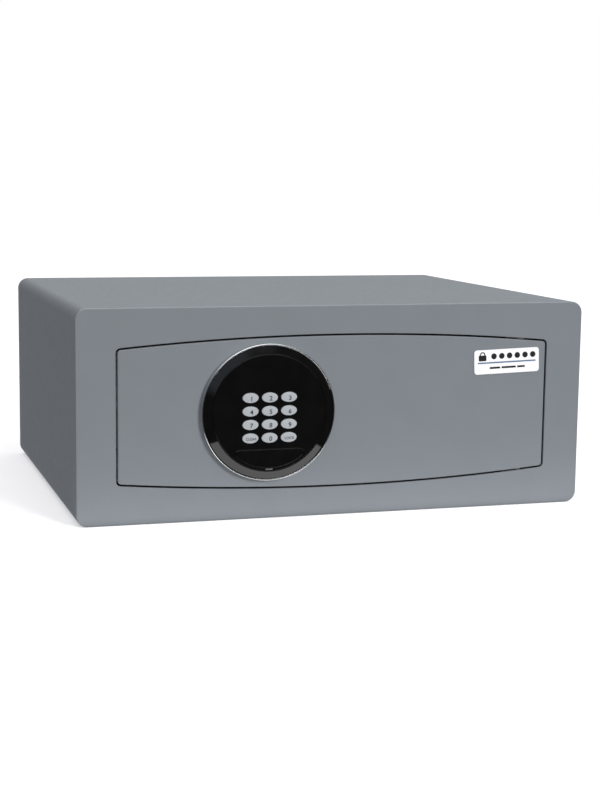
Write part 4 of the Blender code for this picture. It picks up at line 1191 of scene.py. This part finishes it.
def key_legend(name, legend, x, z):
    """The printed legend: a thin film on the key's crown, a little below and right of its middle."""
    film, lift, cell = 0.06 * MM, 0.03 * MM, 0.5 * MM
    word = len(legend) > 1
    height = 2.6 * MM if word else 4.4 * MM
    aside, drop = (0.7 * MM, 0.6 * MM) if word else (0.9 * MM, 0.7 * MM)
    curve = bpy.data.curves.new(f"legend_{name}", "FONT")
    curve.body = legend
    curve.resolution_u = 6
    curve.offset = 0.012 if word else 0.018
    shape = curve_shape(curve)
    xs, ys = [v.co.x for v in shape.mesh.verts], [v.co.y for v in shape.mesh.verts]
    scale = height / (max(ys) - min(ys))
    middle = Vector(((min(xs) + max(xs)) / 2, (min(ys) + max(ys)) / 2, 0))
    for vertex in shape.mesh.verts:
        vertex.co = (vertex.co - middle) * scale + Vector((aside, -drop, 0))
    shape.weld(0.001 * MM)
    for axis in (Vector((1, 0, 0)), Vector((0, 1, 0))):
        for step in range(-14, 15):
            everything = [*shape.mesh.verts, *shape.mesh.edges, *shape.mesh.faces]
            bmesh.ops.bisect_plane(shape.mesh, geom=everything, plane_co=axis * step * cell, plane_no=axis)
    for vertex in shape.mesh.verts:
        dx, dz = vertex.co.x, vertex.co.y
        share = math.hypot(dx / (KEY_W / 2), dz / (KEY_H / 2))
        vertex.co = on_front((x + dx, z + dz), -key_crown(share) - lift)
    obj = shape.to_object(f"key_{name}_legend")
    thicken = obj.modifiers.new("film", "SOLIDIFY")
    thicken.thickness = film
    thicken.offset = 0.0
    return baked(obj)


def make_override_lock():
    """Brass cylinder lock behind the service cover, with its plug and key slot."""
    axis = PAD_AXIS - Vector((0, 0, LOCK_DROP))
    bore, flange_r, front, edge = PLUG_R + GAP, 8.2 * MM, 4.7 * MM, 0.3 * MM
    profile = [(bore, front - edge), (bore + edge, front), (flange_r - edge, front)]
    profile += [(flange_r, front - edge), (flange_r, front - MM), (LOCK_R, front - MM)]
    profile += [(LOCK_R, -LOCK_BACK), (bore, -LOCK_BACK)]
    barrel = turned("override_barrel_tube", profile, aim(axis, "-Y"), closed=True)
    fit(barrel, BRASS, "door", "brass", "override_lock_body")

    tip, back = 4.3 * MM, LOCK_BACK + 2.2 * MM
    profile = [(0, tip), (PLUG_R - edge, tip), (PLUG_R, tip - edge), (PLUG_R, -back), (0, -back)]
    plug = turned("override_plug_face", profile, aim(axis, "-Y"))
    slot_w, slot_h, slot_deep = 1.3 * MM, 7 * MM, 10 * MM
    slot = rect_ring(axis.x, axis.z, slot_w, slot_h, 0.3 * MM, 3)
    combine(plug, plate("slot", [slot], rim(-tip - MM, slot_deep - tip)))
    fit(plug, BRASS, "override_barrel", "brass", "override_plug")
    soften("override_cam", ZINC, 0.3 * MM)


def make_keypad():
    make_bezel()
    make_housing()
    make_lens()
    make_service_cover()
    for name, legend in KEY_LEGENDS.items():
        make_key(name, legend)
    make_override_lock()
    soften("display_module", MATT, 0.3 * MM)
    soften("key_mat", RUBBER, 0.1 * MM)
    soften("keypad_board", BOARD, 0.1 * MM)
    soften("keypad_cable", RUBBER, 0)


make_studio()
make_cabinet()
make_door()
make_keypad()
